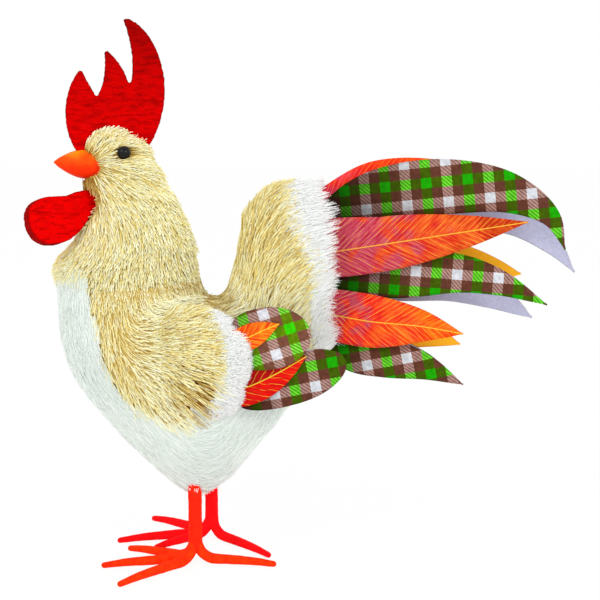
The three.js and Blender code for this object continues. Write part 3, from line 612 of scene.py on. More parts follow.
def add(tree, kind, inputs=None, stops=(), **settings):
    """Adds a node with its settings, its ramp stops, and its inputs as values, hex colours, sockets, or
    nodes whose first output in use is linked. The two ends of a ramp come first."""
    node = tree.nodes.new("ShaderNode" + kind)
    for key, value in settings.items():
        setattr(node, key, value)
    for key, value in (inputs or {}).items():
        if isinstance(value, bpy.types.Node):
            value = next(output for output in value.outputs if output.enabled)
        if isinstance(value, bpy.types.NodeSocket):
            tree.links.new(value, node.inputs[key])
        else:
            node.inputs[key].default_value = ink(value) if isinstance(value, str) else value
    for index, (position, shade) in enumerate(stops):
        elements = node.color_ramp.elements
        element = elements[index] if index < 2 else elements.new(position)
        element.position = position
        element.color = ink(shade) if isinstance(shade, str) else (*shade[:3], 1.0)
    return node


def material(name, make):
    """A material whose shader comes from a function that fills its tree, or the one already made."""
    made = bpy.data.materials.get(name)
    if made is None:
        made = bpy.data.materials.new(name)
        made.use_nodes = True
        made.node_tree.nodes.clear()
        add(made.node_tree, "OutputMaterial", {"Surface": make(made.node_tree)})
    return made


def straw_fibre(tree):
    """Sheared palm straw: each fibre has its own tone, has painted shade towards its root, and is dull all
    over.
    """
    look = bpy.context.scene.rooster_coats
    tone = add(tree, "Attribute", attribute_name="tone").outputs["Fac"]
    way = add(tree, "Attribute", attribute_name="way").outputs["Fac"]
    hue = add(tree, "ValToRGB", {"Fac": tone}, (
        (0.0, look.straw_deep), (0.95, look.straw_pale), (0.3, look.straw_mid), (0.65, look.straw_light)))
    # painted shade: darker towards each fibre's root and on the shell under the fibres, where the coat shades
    # itself
    depth = add(tree, "ValToRGB", {"Fac": way}, (
        (0.05, "#C8AC68"), (0.9, "#FFFFFF"), (0.4, "#F8F0D0")))
    dyed = add(tree, "Mix", {0: 1.0, 6: hue, 7: depth}, data_type="RGBA", blend_type="MULTIPLY")
    return add(tree, "BsdfPrincipled", {
        "Base Color": dyed, "Roughness": 0.62, "IOR": 1.5, "Specular IOR Level": 0.2})


def white_fibre(tree):
    """Bleached bristle: nearly white, with a little painted shade towards its root, and soft."""
    look = bpy.context.scene.rooster_coats
    tone = add(tree, "Attribute", attribute_name="tone").outputs["Fac"]
    way = add(tree, "Attribute", attribute_name="way").outputs["Fac"]
    hue = add(tree, "Mix", {0: tone, 6: (*look.white_shade, 1.0), 7: (*look.white_tip, 1.0)},
              data_type="RGBA")
    # painted shade: a little greyer towards each bristle's root and on the shell under the bristles
    depth = add(tree, "ValToRGB", {"Fac": way}, (
        (0.0, "#F4F7F3"), (0.8, "#FFFFFF"), (0.4, "#FCFEFB")))
    dyed = add(tree, "Mix", {0: 1.0, 6: hue, 7: depth}, data_type="RGBA", blend_type="MULTIPLY")
    return add(tree, "BsdfPrincipled", {
        "Base Color": dyed, "Roughness": 0.7, "IOR": 1.5, "Specular IOR Level": 0.2})


def wool_felt(tree):
    """Pressed wool felt: dull, mottled over 5 mm, with a nap of fibres under 1 mm, creased across every few
    millimetres with painted shade in the creases, with painted shade towards the points of the comb, and
    painted shade on its cut edges."""
    look = bpy.context.scene.rooster_felt
    at = add(tree, "TexCoord").outputs["Object"]
    mottle = add(tree, "TexNoise", {"Vector": at, "Scale": per(5), "Detail": 3.0})
    nap = add(tree, "TexNoise", {"Vector": at, "Scale": per(0.9), "Detail": 4.0, "Roughness": 0.7})
    creases = add(tree, "Mapping", {"Vector": at, "Scale": (per(8), per(8), per(2))})
    folds = add(tree, "TexNoise", {"Vector": creases, "Scale": 1.0, "Detail": 3.0, "Distortion": 0.6})
    height = add(tree, "SeparateXYZ", {0: at}).outputs[2]
    rim = add(tree, "Attribute", attribute_name="rim").outputs["Fac"]
    hue = add(tree, "ValToRGB", {"Fac": mottle}, ((0.3, look.felt_dark), (0.75, look.felt_red)))
    # painted shade on the cut edges, where the rim attribute is high
    dyed = add(tree, "Mix", {0: rim, 6: hue, 7: (*look.felt_edge_shade, 1.0)}, data_type="RGBA")
    # the nap varies the felt's own tone; the folds add painted shade in the creases, and the height adds
    # painted shade towards the points of the comb
    for measure, stops in (
            (nap, ((0.3, "#DADADA"), (0.7, "#FFFFFF"))),
            (folds, ((0.34, "#CFCFCF"), (0.54, "#FFFFFF"))),
            (height, ((0.215, "#FFFFFF"), (0.33, "#B3B3B3"), (0.295, "#E0E0E0"), (0.312, "#C3C3C3")))):
        layer = add(tree, "ValToRGB", {"Fac": measure}, stops)
        dyed = add(tree, "Mix", {0: 1.0, 6: dyed, 7: layer}, data_type="RGBA", blend_type="MULTIPLY")
    relief = add(tree, "Math", {0: folds, 1: 2.5, 2: nap}, operation="MULTIPLY_ADD")
    bump = add(tree, "Bump", {"Height": relief, "Strength": 0.6, "Distance": 0.5 * MM})
    return add(tree, "BsdfPrincipled", {
        "Base Color": dyed, "Roughness": 0.9, "Specular IOR Level": 0.03, "Normal": bump})


def beak_paint(tree):
    """Satin paint over moulded foam: orange, mottled in blotches, with painted shade making it redder
    underneath and painted light making it lighter on top, and a faint grain."""
    look = bpy.context.scene.rooster_felt
    at = add(tree, "TexCoord").outputs["Object"]
    blotch = add(tree, "TexNoise", {"Vector": at, "Scale": per(9), "Detail": 2.0})
    grain = add(tree, "TexNoise", {"Vector": at, "Scale": per(0.8), "Detail": 2.0})
    height = add(tree, "SeparateXYZ", {0: at}).outputs[2]
    # painted light and shade: the colour runs from deep below to pale above with height
    rise = add(tree, "Math", {0: height, 1: per(20), 2: -12.2}, operation="MULTIPLY_ADD")
    stage = add(tree, "Math", {0: blotch, 1: 0.7, 2: rise}, operation="MULTIPLY_ADD")
    hue = add(tree, "ValToRGB", {"Fac": stage}, (
        (0.2, look.beak_deep_and_shaded), (0.85, look.beak_pale_and_lit), (0.52, look.beak_orange)))
    bump = add(tree, "Bump", {"Height": grain, "Strength": 0.15, "Distance": 0.2 * MM})
    return add(tree, "BsdfPrincipled", {
        "Base Color": hue, "Roughness": 0.45, "IOR": 1.48, "Specular IOR Level": 0.05, "Normal": bump})


def black_glass(tree):
    """Pressed black glass: deep, polished, with a trace of swirl in the colour."""
    at = add(tree, "TexCoord").outputs["Object"]
    swirl = add(tree, "TexNoise", {"Vector": at, "Scale": per(3), "Distortion": 1.5})
    hue = add(tree, "ValToRGB", {"Fac": swirl}, ((0.3, "#020203"), (0.8, "#0A0C10")))
    return add(tree, "BsdfPrincipled", {
        "Base Color": hue, "Roughness": 0.05, "IOR": 1.5, "Specular IOR Level": 0.24})


def leg_tape(tree, pale, deep):
    """Flocked tape wound on wire: dull and velvety, mottled over 4 mm."""
    at = add(tree, "TexCoord").outputs["Object"]
    mottle = add(tree, "TexNoise", {"Vector": at, "Scale": per(4), "Detail": 3.0})
    flock = add(tree, "TexNoise", {"Vector": at, "Scale": per(0.7), "Detail": 2.0})
    hue = add(tree, "ValToRGB", {"Fac": mottle}, ((0.3, deep), (0.7, pale)))
    bump = add(tree, "Bump", {"Height": flock, "Strength": 0.3, "Distance": 0.3 * MM})
    return add(tree, "BsdfPrincipled", {
        "Base Color": hue, "Roughness": 0.75, "Specular IOR Level": 0.05, "Normal": bump})


def plaid_weave(tree, shade, white, brown, green, white_brown, white_green, brown_green):
    """Yarn-dyed twill: white, brown and green stripes of a quarter repeat both ways, with a diagonal
    hatch where white crosses a colour, and painted shade towards the base."""
    repeat = bpy.context.scene.rooster_cloth.check_repeat
    uv = add(tree, "UVMap", uv_map="cloth")
    u, v = add(tree, "SeparateXYZ", {0: uv}).outputs[:2]
    turns, whites = [], []
    for measure in (u, v):
        share = add(tree, "Math", {0: measure, 1: 1.0 / repeat, 2: 0.125}, operation="MULTIPLY_ADD")
        turns.append(add(tree, "Math", {0: share}, operation="FRACT"))
        whites.append(add(tree, "Math", {0: turns[-1], 1: 0.25}, operation="LESS_THAN"))
    on_green = add(tree, "Math", {0: turns[0], 1: 0.625, 2: 0.125}, operation="COMPARE")
    rows = []
    for first, second, third in ((white_brown, brown, brown_green), (white, white_brown, white_green),
                                 (white_green, brown_green, green)):
        row = add(tree, "ValToRGB", {"Fac": turns[1]}, (
            (0.0, first), (0.25, second), (0.5, third), (0.75, second)))
        row.color_ramp.interpolation = "CONSTANT"
        rows.append(row)
    crossing = add(tree, "Mix", {0: whites[0], 6: rows[0], 7: rows[1]}, data_type="RGBA")
    crossing = add(tree, "Mix", {0: on_green, 6: crossing, 7: rows[2]}, data_type="RGBA")
    # the real hatch repeats every 1.5 mm and is drawn coarser, so that it isn't lost between pixels
    diagonal = add(tree, "Math", {0: u, 1: v}, operation="ADD")
    twill = add(tree, "Math", {0: diagonal, 1: per(2.4)}, operation="MULTIPLY")
    phase = add(tree, "Math", {0: twill}, operation="FRACT")
    over = add(tree, "Math", {0: phase, 1: 0.5}, operation="GREATER_THAN")
    odd = add(tree, "Math", {0: whites[0], 1: whites[1]}, operation="SUBTRACT")
    odd = add(tree, "Math", {0: odd}, operation="ABSOLUTE")
    hatch = add(tree, "Math", {0: odd, 1: over}, operation="MULTIPLY")
    at = add(tree, "TexCoord").outputs["Object"]
    slub = add(tree, "TexNoise", {"Vector": at, "Scale": per(2.5), "Detail": 4.0})
    wear = add(tree, "ValToRGB", {"Fac": slub}, ((0.25, "#CFCFCF"), (0.7, "#FFFFFF")))
    way = add(tree, "Attribute", attribute_name="way").outputs["Fac"]
    # painted shade towards the feather's base, where it goes under the bristles
    base = add(tree, "ValToRGB", {"Fac": way}, ((0.04, shade), (0.4, "#FFFFFF")))
    dyed = crossing
    for share, layer in ((hatch, "#B6B6B6"), (1.0, wear), (1.0, base)):
        dyed = add(tree, "Mix", {0: share, 6: dyed, 7: layer}, data_type="RGBA", blend_type="MULTIPLY")
    bump = add(tree, "Bump", {"Height": over, "Strength": 0.25, "Distance": 0.15 * MM})
    return add(tree, "BsdfPrincipled", {
        "Base Color": dyed, "Roughness": 0.85, "Specular IOR Level": 0.05, "Normal": bump})


def cloth_backing(tree):
    """Bonded backing behind the plaid: plain, cool white, with the weave showing faintly."""
    look = bpy.context.scene.rooster_cloth
    at = add(tree, "TexCoord").outputs["Object"]
    weave = add(tree, "TexNoise", {"Vector": at, "Scale": per(1.5), "Detail": 2.0})
    hue = add(tree, "ValToRGB", {"Fac": weave}, ((0.3, look.backing_shade), (0.7, look.backing)))
    bump = add(tree, "Bump", {"Height": weave, "Strength": 0.1, "Distance": 0.2 * MM})
    return add(tree, "BsdfPrincipled", {
        "Base Color": hue, "Roughness": 0.85, "Specular IOR Level": 0.15, "Normal": bump})


def leaf_print(tree, stops, vein, spacing, shaded=0.0, gold=0.42):
    """Printed satin leaf: dyed from base to tip in patches, broken into deep and golden streaks along the
    side veins, with a thin yellow midrib that the side veins leave at 35 degrees."""
    uv = add(tree, "UVMap", uv_map="cloth")
    along, aside = add(tree, "SeparateXYZ", {0: uv}).outputs[:2]
    way = add(tree, "Attribute", attribute_name="way").outputs["Fac"]
    out = add(tree, "Math", {0: aside}, operation="ABSOLUTE")
    slant = add(tree, "Math", {0: out, 1: -1.43, 2: along}, operation="MULTIPLY_ADD")
    lane = add(tree, "CombineXYZ", {0: slant, 1: aside})
    grain = add(tree, "Mapping", {"Vector": lane, "Scale": (1.0, 0.2, 1.0)})
    streaks = add(tree, "TexNoise", {
        "Vector": grain, "Scale": per(2), "Detail": 4.0, "Roughness": 0.7})
    patches = add(tree, "TexNoise", {"Vector": uv, "Scale": per(12), "Detail": 2.0})
    drift = add(tree, "Math", {0: patches, 1: 1.2, 2: -0.6}, operation="MULTIPLY_ADD")
    stage = add(tree, "Math", {0: way, 1: drift}, operation="ADD")
    dye = add(tree, "ValToRGB", {"Fac": stage}, stops)
    deep = add(tree, "Mix", {0: 1.0, 6: dye, 7: (0.82, 0.16, 0.35, 1.0)},
               data_type="RGBA", blend_type="MULTIPLY")
    golden = add(tree, "Mix", {0: gold, 6: dye, 7: "#EC9438"}, data_type="RGBA")
    dark = add(tree, "ValToRGB", {"Fac": streaks}, ((0.42, "#FFFFFF"), (0.52, "#000000")))
    pale = add(tree, "ValToRGB", {"Fac": streaks}, ((0.54, "#000000"), (0.66, "#FFFFFF")))
    # painted shade: the upper half of the leaf is mixed towards near-black red by the share shaded
    upper = add(tree, "Math", {0: aside, 1: 0.0}, operation="GREATER_THAN")
    shade = add(tree, "Math", {0: upper, 1: shaded}, operation="MULTIPLY")
    beat = add(tree, "Math", {0: slant, 1: per(spacing), 2: patches}, operation="MULTIPLY_ADD")
    phase = add(tree, "Math", {0: beat}, operation="FRACT")
    side_vein = add(tree, "Math", {0: phase, 1: 0.5 / spacing}, operation="LESS_THAN")
    broken = add(tree, "ValToRGB", {"Fac": streaks}, ((0.4, "#404040"), (0.56, "#E0E0E0")))
    soft = add(tree, "Math", {0: side_vein, 1: broken}, operation="MULTIPLY")
    midrib = add(tree, "Math", {0: out, 1: 0.3 * MM}, operation="LESS_THAN")
    lines = add(tree, "Math", {0: midrib, 1: soft}, operation="MAXIMUM")
    printed = dye
    for share, layer in ((dark, deep), (pale, golden), (shade, "#3C0006"), (lines, vein)):
        printed = add(tree, "Mix", {0: share, 6: printed, 7: layer}, data_type="RGBA")
    bump = add(tree, "Bump", {"Height": lines, "Strength": 0.3, "Distance": 0.2 * MM})
    return add(tree, "BsdfPrincipled", {
        "Base Color": printed, "Roughness": 0.6, "Specular IOR Level": 0.1, "Normal": bump})


def leaf_back(tree):
    """Unprinted back of the leaf cloth: the dye shows through as orange that pales to yellow."""
    look = bpy.context.scene.rooster_cloth
    way = add(tree, "Attribute", attribute_name="way").outputs["Fac"]
    at = add(tree, "TexCoord").outputs["Object"]
    cloud = add(tree, "TexNoise", {"Vector": at, "Scale": per(7), "Detail": 3.0})
    drift = add(tree, "Math", {0: cloud, 1: 0.3, 2: -0.15}, operation="MULTIPLY_ADD")
    stage = add(tree, "Math", {0: way, 1: drift}, operation="ADD")
    hue = add(tree, "ValToRGB", {"Fac": stage}, (
        (0.1, look.leaf_orange), (0.9, "#FFB61E"), (0.6, "#FFA814")))
    return add(tree, "BsdfPrincipled", {"Base Color": hue, "Roughness": 0.7, "Specular IOR Level": 0.2})


def bead_foam(tree):
    """Expanded foam: white beads of about 3 mm pressed together."""
    at = add(tree, "TexCoord").outputs["Object"]
    beads = add(tree, "TexVoronoi", {"Vector": at, "Scale": per(3)})
    hue = add(tree, "ValToRGB", {"Fac": beads}, ((0.2, "#F4F2EA"), (0.8, "#D8D4C8")))
    bump = add(tree, "Bump", {"Height": beads, "Strength": 0.4, "Distance": 0.4 * MM})
    return add(tree, "BsdfPrincipled", {"Base Color": hue, "Roughness": 0.8, "Normal": bump})


def drawn_steel(tree):
    """Drawn steel wire: grey metal with fine lines along it."""
    at = add(tree, "TexCoord").outputs["Object"]
    lines = add(tree, "TexNoise", {"Vector": at, "Scale": per(0.6), "Detail": 2.0})
    hue = add(tree, "ValToRGB", {"Fac": lines}, ((0.3, "#7C7E82"), (0.7, "#A6A8AB")))
    return add(tree, "BsdfPrincipled", {"Base Color": hue, "Metallic": 1.0, "Roughness": 0.35})


# Settings

def colour(name, code, description):
    return FloatVectorProperty(name=name, description=description, subtype="COLOR", size=3,
                               min=0.0, max=1.0, default=ink(code)[:3])


def length(name, millimetres, description):
    return FloatProperty(name=name, description=description, default=millimetres * MM, min=0.0,
                         unit="LENGTH", subtype="DISTANCE", precision=4)


def fibres(name, default, description):
    return IntProperty(name=name, description=description, default=default, min=100)


def strength(name, default, description):
    return FloatProperty(name=name, description=description, default=default, min=0.0)


def turning(name, degrees, description):
    return FloatProperty(name=name, description=description, default=math.radians(degrees), unit="ROTATION",
                         subtype="ANGLE")


class CoatSettings(bpy.types.PropertyGroup):
    """Bristle coats"""
    straw_pale: colour("Palest straw", "#FFFFE6", "Palest fibres of the straw coat")
    straw_light: colour("Light straw", "#FEFACC", "Most fibres of the straw coat")
    straw_mid: colour("Golden straw", "#F6E694", "Golden fibres of the straw coat")
    straw_deep: colour("Deep straw", "#BE9444", "Darkest fibres of the straw coat")
    white_tip: colour("White bristle", "#FFFFFF", "Palest fibres of the white coat")
    white_shade: colour("Shaded bristle", "#E8F1EB", "Greyest fibres of the white coat")
    straw_width: length("Straw width", 0.54, "Thickness of a straw fibre")
    white_width: length("Bristle width", 0.45, "Thickness of a white bristle")
    neck_count: fibres("Neck fibres", 24000, "Fibres on head and neck")
    saddle_count: fibres("Saddle fibres", 16000, "Fibres on the saddle")
    belly_count: fibres("Belly fibres", 34000, "Fibres on the belly")
    rump_count: fibres("Rump fibres", 10500, "Fibres on the rump")
    fringe_count: fibres("Fringe fibres", 14000, "Fibres round the tail")
    wing_count: fibres("Wing fibres", 13000, "Fibres on a wing")
    wing_fringe_count: fibres("Wing fringe fibres", 30000, "White fibres on a wing")


class FeltSettings(bpy.types.PropertyGroup):
    """Comb, wattle and beak"""
    felt_red: colour("Felt", "#FC0000", "Red of the felt")
    felt_dark: colour("Felt shade", "#EA0000", "Darker red in the felt")
    # painted shade on the cut edges of the felt
    felt_edge_shade: colour("Felt edge", "#AA0000", "Cut edge of the felt")
    beak_orange: colour("Beak", "#FF540A", "Orange of the beak")
    # painted shade under the beak and painted light on top, mixed with the blotches
    beak_deep_and_shaded: colour("Beak shade", "#FA3006", "Deeper orange under the beak")
    beak_pale_and_lit: colour("Beak light", "#FF9812", "Lighter orange on top of the beak")
    comb_felt: length("Comb felt", 5.0, "Thickness of the comb")
    wattle_felt: length("Wattle felt", 9.0, "Thickness of the wattle, two layers")
    voxel: length("Felt grain", 0.8, "Size of the mesh cells in the felt pieces")


class ClothSettings(bpy.types.PropertyGroup):
    """Cloth feathers"""
    check_repeat: length("Check repeat", 24.8, "Repeat of the plaid")
    cloth_thickness: length("Cloth", 0.8, "Thickness of cloth and backing")
    check_white: colour("White yarn", "#D6DAE0", "White stripes of the plaid")
    check_brown: colour("Brown yarn", "#643A2C", "Brown stripes of the plaid")
    check_green: colour("Green yarn", "#1EA804", "Green stripes of the plaid")
    white_brown: colour("White on brown", "#B88E84", "Lighter threads where white crosses brown")
    white_green: colour("White on green", "#6CDF30", "Lighter threads where white crosses green")
    brown_green: colour("Brown on green", "#425E04", "Where brown crosses green")
    backing: colour("Backing", "#BABAD2", "Back of the plaid cloth")
    backing_shade: colour("Backing shade", "#ACACC4", "Shaded threads of the backing")
    leaf_mauve: colour("Leaf mauve", "#C04460", "Base of a leaf")
    leaf_red: colour("Leaf red", "#DA4222", "Red of a leaf")
    leaf_orange: colour("Leaf orange", "#E05C1C", "Orange of a leaf")
    leaf_tip: colour("Leaf tip", "#BC3600", "Tip of a leaf")
    leaf_yellow: colour("Leaf yellow", "#FC6E02", "Paler tips and backs of leaves")


class LegSettings(bpy.types.PropertyGroup):
    """Wrapped legs"""
    left_wrap: colour("Left wrap", "#FF2A0E", "Tape on the left leg")
    left_deep: colour("Left wrap shade", "#F62008", "Darker tape on the left leg")
    left_foot: colour("Left foot", "#FF3C08", "Tape on the left toes")
    left_foot_deep: colour("Left foot shade", "#FF2A06", "Darker tape on the left toes")
    right_wrap: colour("Right wrap", "#FF1218", "Tape on the right leg")
    right_deep: colour("Right wrap shade", "#FF0A10", "Darker tape on the right leg")
    shank_radius: length("Shank radius", 4.1, "Radius of a wrapped shank")
    toe_radius: length("Toe radius", 3.2, "Radius of a toe at its thickest")
    tip_radius: length("Toe tip radius", 1.7, "Radius of a toe near its tip")


class StageSettings(bpy.types.PropertyGroup):
    """Floor, light and camera"""
    key_power: strength("Key lamp", 4.0, "Power of the key lamp in watts")
    fill_power: strength("Fill lamp", 4.0, "Power of the fill lamp in watts")
    sky: strength("Sky", 0.92, "Strength of the even light all round")
    azimuth: turning("Azimuth", 4, "Camera's turn towards the tail")
    elevation: turning("Elevation", 8, "Camera's height as an angle")
    distance: length("Distance", 850, "From the camera to the middle of the figure")
    lens: strength("Lens", 82.3, "Focal length in millimetres on a 36 mm sensor")


# Pieces

class ROOSTER_OT_body_coats(bpy.types.Operator):
    """Grows the bristles of neck, saddle, belly, rump and tail"""
    bl_idname = "rooster.body_coats"
    bl_label = "Body coats"

    def execute(self, context):
        look = context.scene.rooster_coats
        fibre = {
            "straw": (look.straw_width / MM, material("sheared_palm_straw", straw_fibre)),
            "white_bristle": (look.white_width / MM, material("bleached_bristle", white_fibre)),
        }
        for name, slot, nodes, (shell, tufts, finish) in (
                ("neck", "straw", ("neck_coat",), self.neck(look.neck_count)),
                ("saddle", "straw", ("saddle_coat",), self.saddle(look.saddle_count)),
                ("belly", "white_bristle", ("belly_coat",), self.belly(look.belly_count)),
                ("rump", "straw", ("rump_coat", "tail_core"), self.rump(look.rump_count)),
                ("tail_fringe", "white_bristle", ("tail_fringe",), self.fringe(look.fringe_count))):
            width, stuff = fibre[slot]
            piece("bristle_" + name, coat(name, shell, tufts, width, **finish), slot, nodes, stuff)
        return {"FINISHED"}

    def neck(self, count):
        """Straw of head and neck: back from the beak, down the neck, and along the wing beside it."""
        rng, roots = body_roots(11, count, 0.05, NECK_END, lambda p: on_straw(p) & ~covered(p))
        from_beak = roots.point - turn_head(BEAK_BASE)
        reach = np.linalg.norm(from_beak, axis=1)
        on_head = np.clip((62 - reach) / 30, 0, 1)[:, None]
        roots = combed(roots, unit(from_beak) * on_head + roots.lay * (1 - on_head))
        size = np.interp(reach, (8, 25, 50, 80), (6, 11, 12, 11))
        lift = np.interp(reach, (8, 30, 55, 80, 110), (8, 11, 22, 34, 34))
        grown = grow(rng, joined_to_wing(roots), (size * 0.8, size * 1.2), (lift * 0.6, lift * 1.35), stray=11,
                     droop=0.3, above=(-1.6, 0.3), tone=(0.2, 1.2))
        tufts = [clear_of_face(grown), clear_of_face(self.crown_tuft(rng)), self.throat_tuft(rng)]
        shell = body_shell(0.25, NECK_END, 3.2, 60)
        for vert in shell.verts:
            p = turn_head(drawn(vert.co), back=True)
            if p[0] < beak_edge(p[2]) + 0.5 and abs(p[2] - BEAK_HEIGHT) < BEAK_SEAT:
                p[1] = np.clip(p[1], -6, 6)
                vert.co = world(turn_head(p))
            elif beside_wattle(p):
                vert.co = world(turn_head(p * (1, 0.85, 1) + (2.2, 0, 0)))
        return shell, tufts, {"tip_share": 0.7, "shell_tone": 0.5, "knee": False}

    @staticmethod
    def saddle(count):
        """Straw between neck and rump: upright and darker in front, flat and paler behind, where the paler
        tones and the pale shell are painted light against the shade in the valley between neck and rump.
        """
        rng, roots = body_roots(12, count, NECK_END - 0.1, RUMP_START, lambda p: on_shoulder(p) & ~covered(p))
        lift = np.interp(roots.point[:, 0], (-105, -75), (26, 7))
        # painted light: the tone rises towards the tail to make up for the shade in the valley between neck and
        # rump
        tone = np.interp(roots.point[:, 0], (-105, -75), (0.2, 0.9))
        grown = grow(rng, joined_to_wing(roots), (9, 13), (lift * 0.6, lift * 1.4), stray=10, above=(-0.4, 0.7),
                     tone=(tone, tone + 0.75))
        shell = body_shell(NECK_END - 0.1, RUMP_START, 1.5, 48, on_shoulder)
        return shell, [grown], {"tip_share": 0.7, "shell_tone": 0.95}

    def belly(self, count):
        """White bristle of breast and belly, sheared close, with tufts round the shanks."""
        rng, roots = body_roots(13, count, BELLY_START, RUMP_START + 0.1, lambda p: ~on_straw(p) & ~covered(p))
        tufts = [grow(rng, roots, (7, 11), (1, 4), stray=7, above=(-0.45, 0.3), tone=(0.1, 0.7))]
        tufts += [self.leg_tuft(rng, side) for side in SIDES.values()]
        shell = body_shell(BELLY_START, RUMP_START + 0.1, 0.35, 56, lambda p: ~on_straw(p))
        return shell, tufts, {"tip_share": 0.4, "shell_tone": 0.3, "knee": False}

    @staticmethod
    def rump(count):
        """Straw of the tail stub, paler low down: painted light against the shade that falls there under the
        wing.
        """
        rng, roots = body_roots(
            14, count, RUMP_START - 0.1, RUMP_END,
            lambda p: (p[:, 0] < np.interp(p[:, 2], RUMP_HEIGHTS, STRAW_EDGE)) & ~covered(p))
        # painted light: paler tones low down, to make up for the shade under the wing
        low = np.clip((180 - roots.point[:, 2]) / 30, 0, 1)
        grown = grow(rng, roots, (10, 15), (8, 20), stray=8, above=(-0.5, 1.0),
                     tone=(0.1 + 0.45 * low, 0.78 + 0.38 * low))
        shell = body_shell(RUMP_START - 0.1, RUMP_SHELL_END, 1.9, 40)
        return shell, [grown], {"tip_share": 0.7, "shell_tone": 0.45}

    def fringe(self, count):
        """White bristle round the end of the tail."""
        rng, roots = body_roots(15, count, FRINGE_START, TAIL_FACE + 0.1,
                                lambda p: p[:, 0] > np.interp(p[:, 2], RUMP_HEIGHTS, WHITE_EDGE))
        outer = grow(rng, roots, (5, 12), (6, 24), stray=10, above=(0.0, 1.6), tone=(0.8, 1.0))
        tufts = [(upright_end(curve), shade) for curve, shade in (outer, self.tail_tuft(rng, 2200))]
        shell = body_shell(FRINGE_START, TAIL_FACE, 1.4, 14)
        for vert in shell.verts:
            vert.co = world(upright_end(drawn(vert.co)))
        return shell, tufts, {"tip_share": 0.35, "shell_tone": 0.9, "knee": False}

    @staticmethod
    def crown_tuft(rng):
        """Bristles that stand against both faces of the comb along the top of the head."""
        count = 420
        side = np.where(rng.random(count) < 0.5, -1.0, 1.0)
        x = np.where(rng.random(count) < 0.12, -139 + 12 * rng.random(count), -127 + 24 * rng.random(count))
        z = np.interp(x, (-139, -130, -118, -104), (247, 253, 256, 255))
        point = turn_head(np.stack((x, side * (2.9 + 2.2 * rng.random(count)), z), axis=-1))
        out = np.stack((np.zeros(count), side, np.zeros(count)), axis=-1)
        lean = np.stack(((x + 131) / 14, np.zeros(count), np.ones(count)), axis=-1)
        roots = Roots(point, out, unit(lean), x, z)
        return grow(rng, roots, (6, 10), (2, 14), stray=12, sink=0.5, tone=(0.35, 1.0))

    @staticmethod
    def throat_tuft(rng):
        """Stray bristles over the edge of the wattle, on the left of the throat."""
        count = 46
        z = 207 + 25 * rng.random(count)
        x = np.interp(z, (198, 207.7, 214.6, 224, 231), (-139, -132, -125.5, -121.5, -122.5))
        point = np.stack((x, -8.5 - 0.09 * (224 - z), z), axis=-1)
        out = np.tile(unit(np.array((-0.5, -0.85, 0.0))), (count, 1))
        lean = (-0.3 - rng.random(count), np.full(count, -0.35), -0.9 + 0.9 * rng.random(count))
        roots = Roots(turn_head(point), out, unit(np.stack(lean, axis=-1)), x, z)
        return grow(rng, roots, (3, 7), (0, 16), stray=12, sink=0.6, tone=(0.5, 1.0))

    @staticmethod
    def leg_tuft(rng, side):
        """White bristles that hang round the top of a shank."""
        count, reach, drop = (14, (1, 3), 0) if side < 0 else (16, (5, 11), 8)
        turn = rng.random(count) * 2 * math.pi
        out = np.stack((np.cos(turn), np.sin(turn), np.zeros(count)), axis=-1)
        top = shank_foot(side) + (0, 0, 48.0 - drop)
        roots = Roots(top + out * 4.8, out, np.tile((0.0, 0.0, -1.0), (count, 1)), turn, turn)
        return grow(rng, roots, reach, (0, 26), stray=12, sink=0.2)

    @staticmethod
    def tail_tuft(rng, count):
        """White bristles that fill the open end of the tail round the feathers' stems."""
        reach, turn = np.sqrt(rng.random(count)) * 0.93, rng.random(count) * 2 * math.pi
        edge = body(np.full(count, TAIL_FACE), turn, 2.0)
        above, below = (body(np.full(1, TAIL_FACE), np.full(1, half_turn)) for half_turn in (0.0, math.pi))
        middle, chord = (above + below) / 2, below - above
        point = middle + (edge - middle) * reach[:, None]
        ahead = unit(np.cross(chord, (0.0, -1.0, 0.0)))
        ahead = ahead * np.sign(ahead[:, :1])
        roots = Roots(point, np.repeat(ahead, count, axis=0), unit(edge - middle), reach, turn)
        return grow(rng, roots, (8, 15), (55, 85), stray=20, sink=1.0, droop=0.2, tone=(0.8, 1.0))


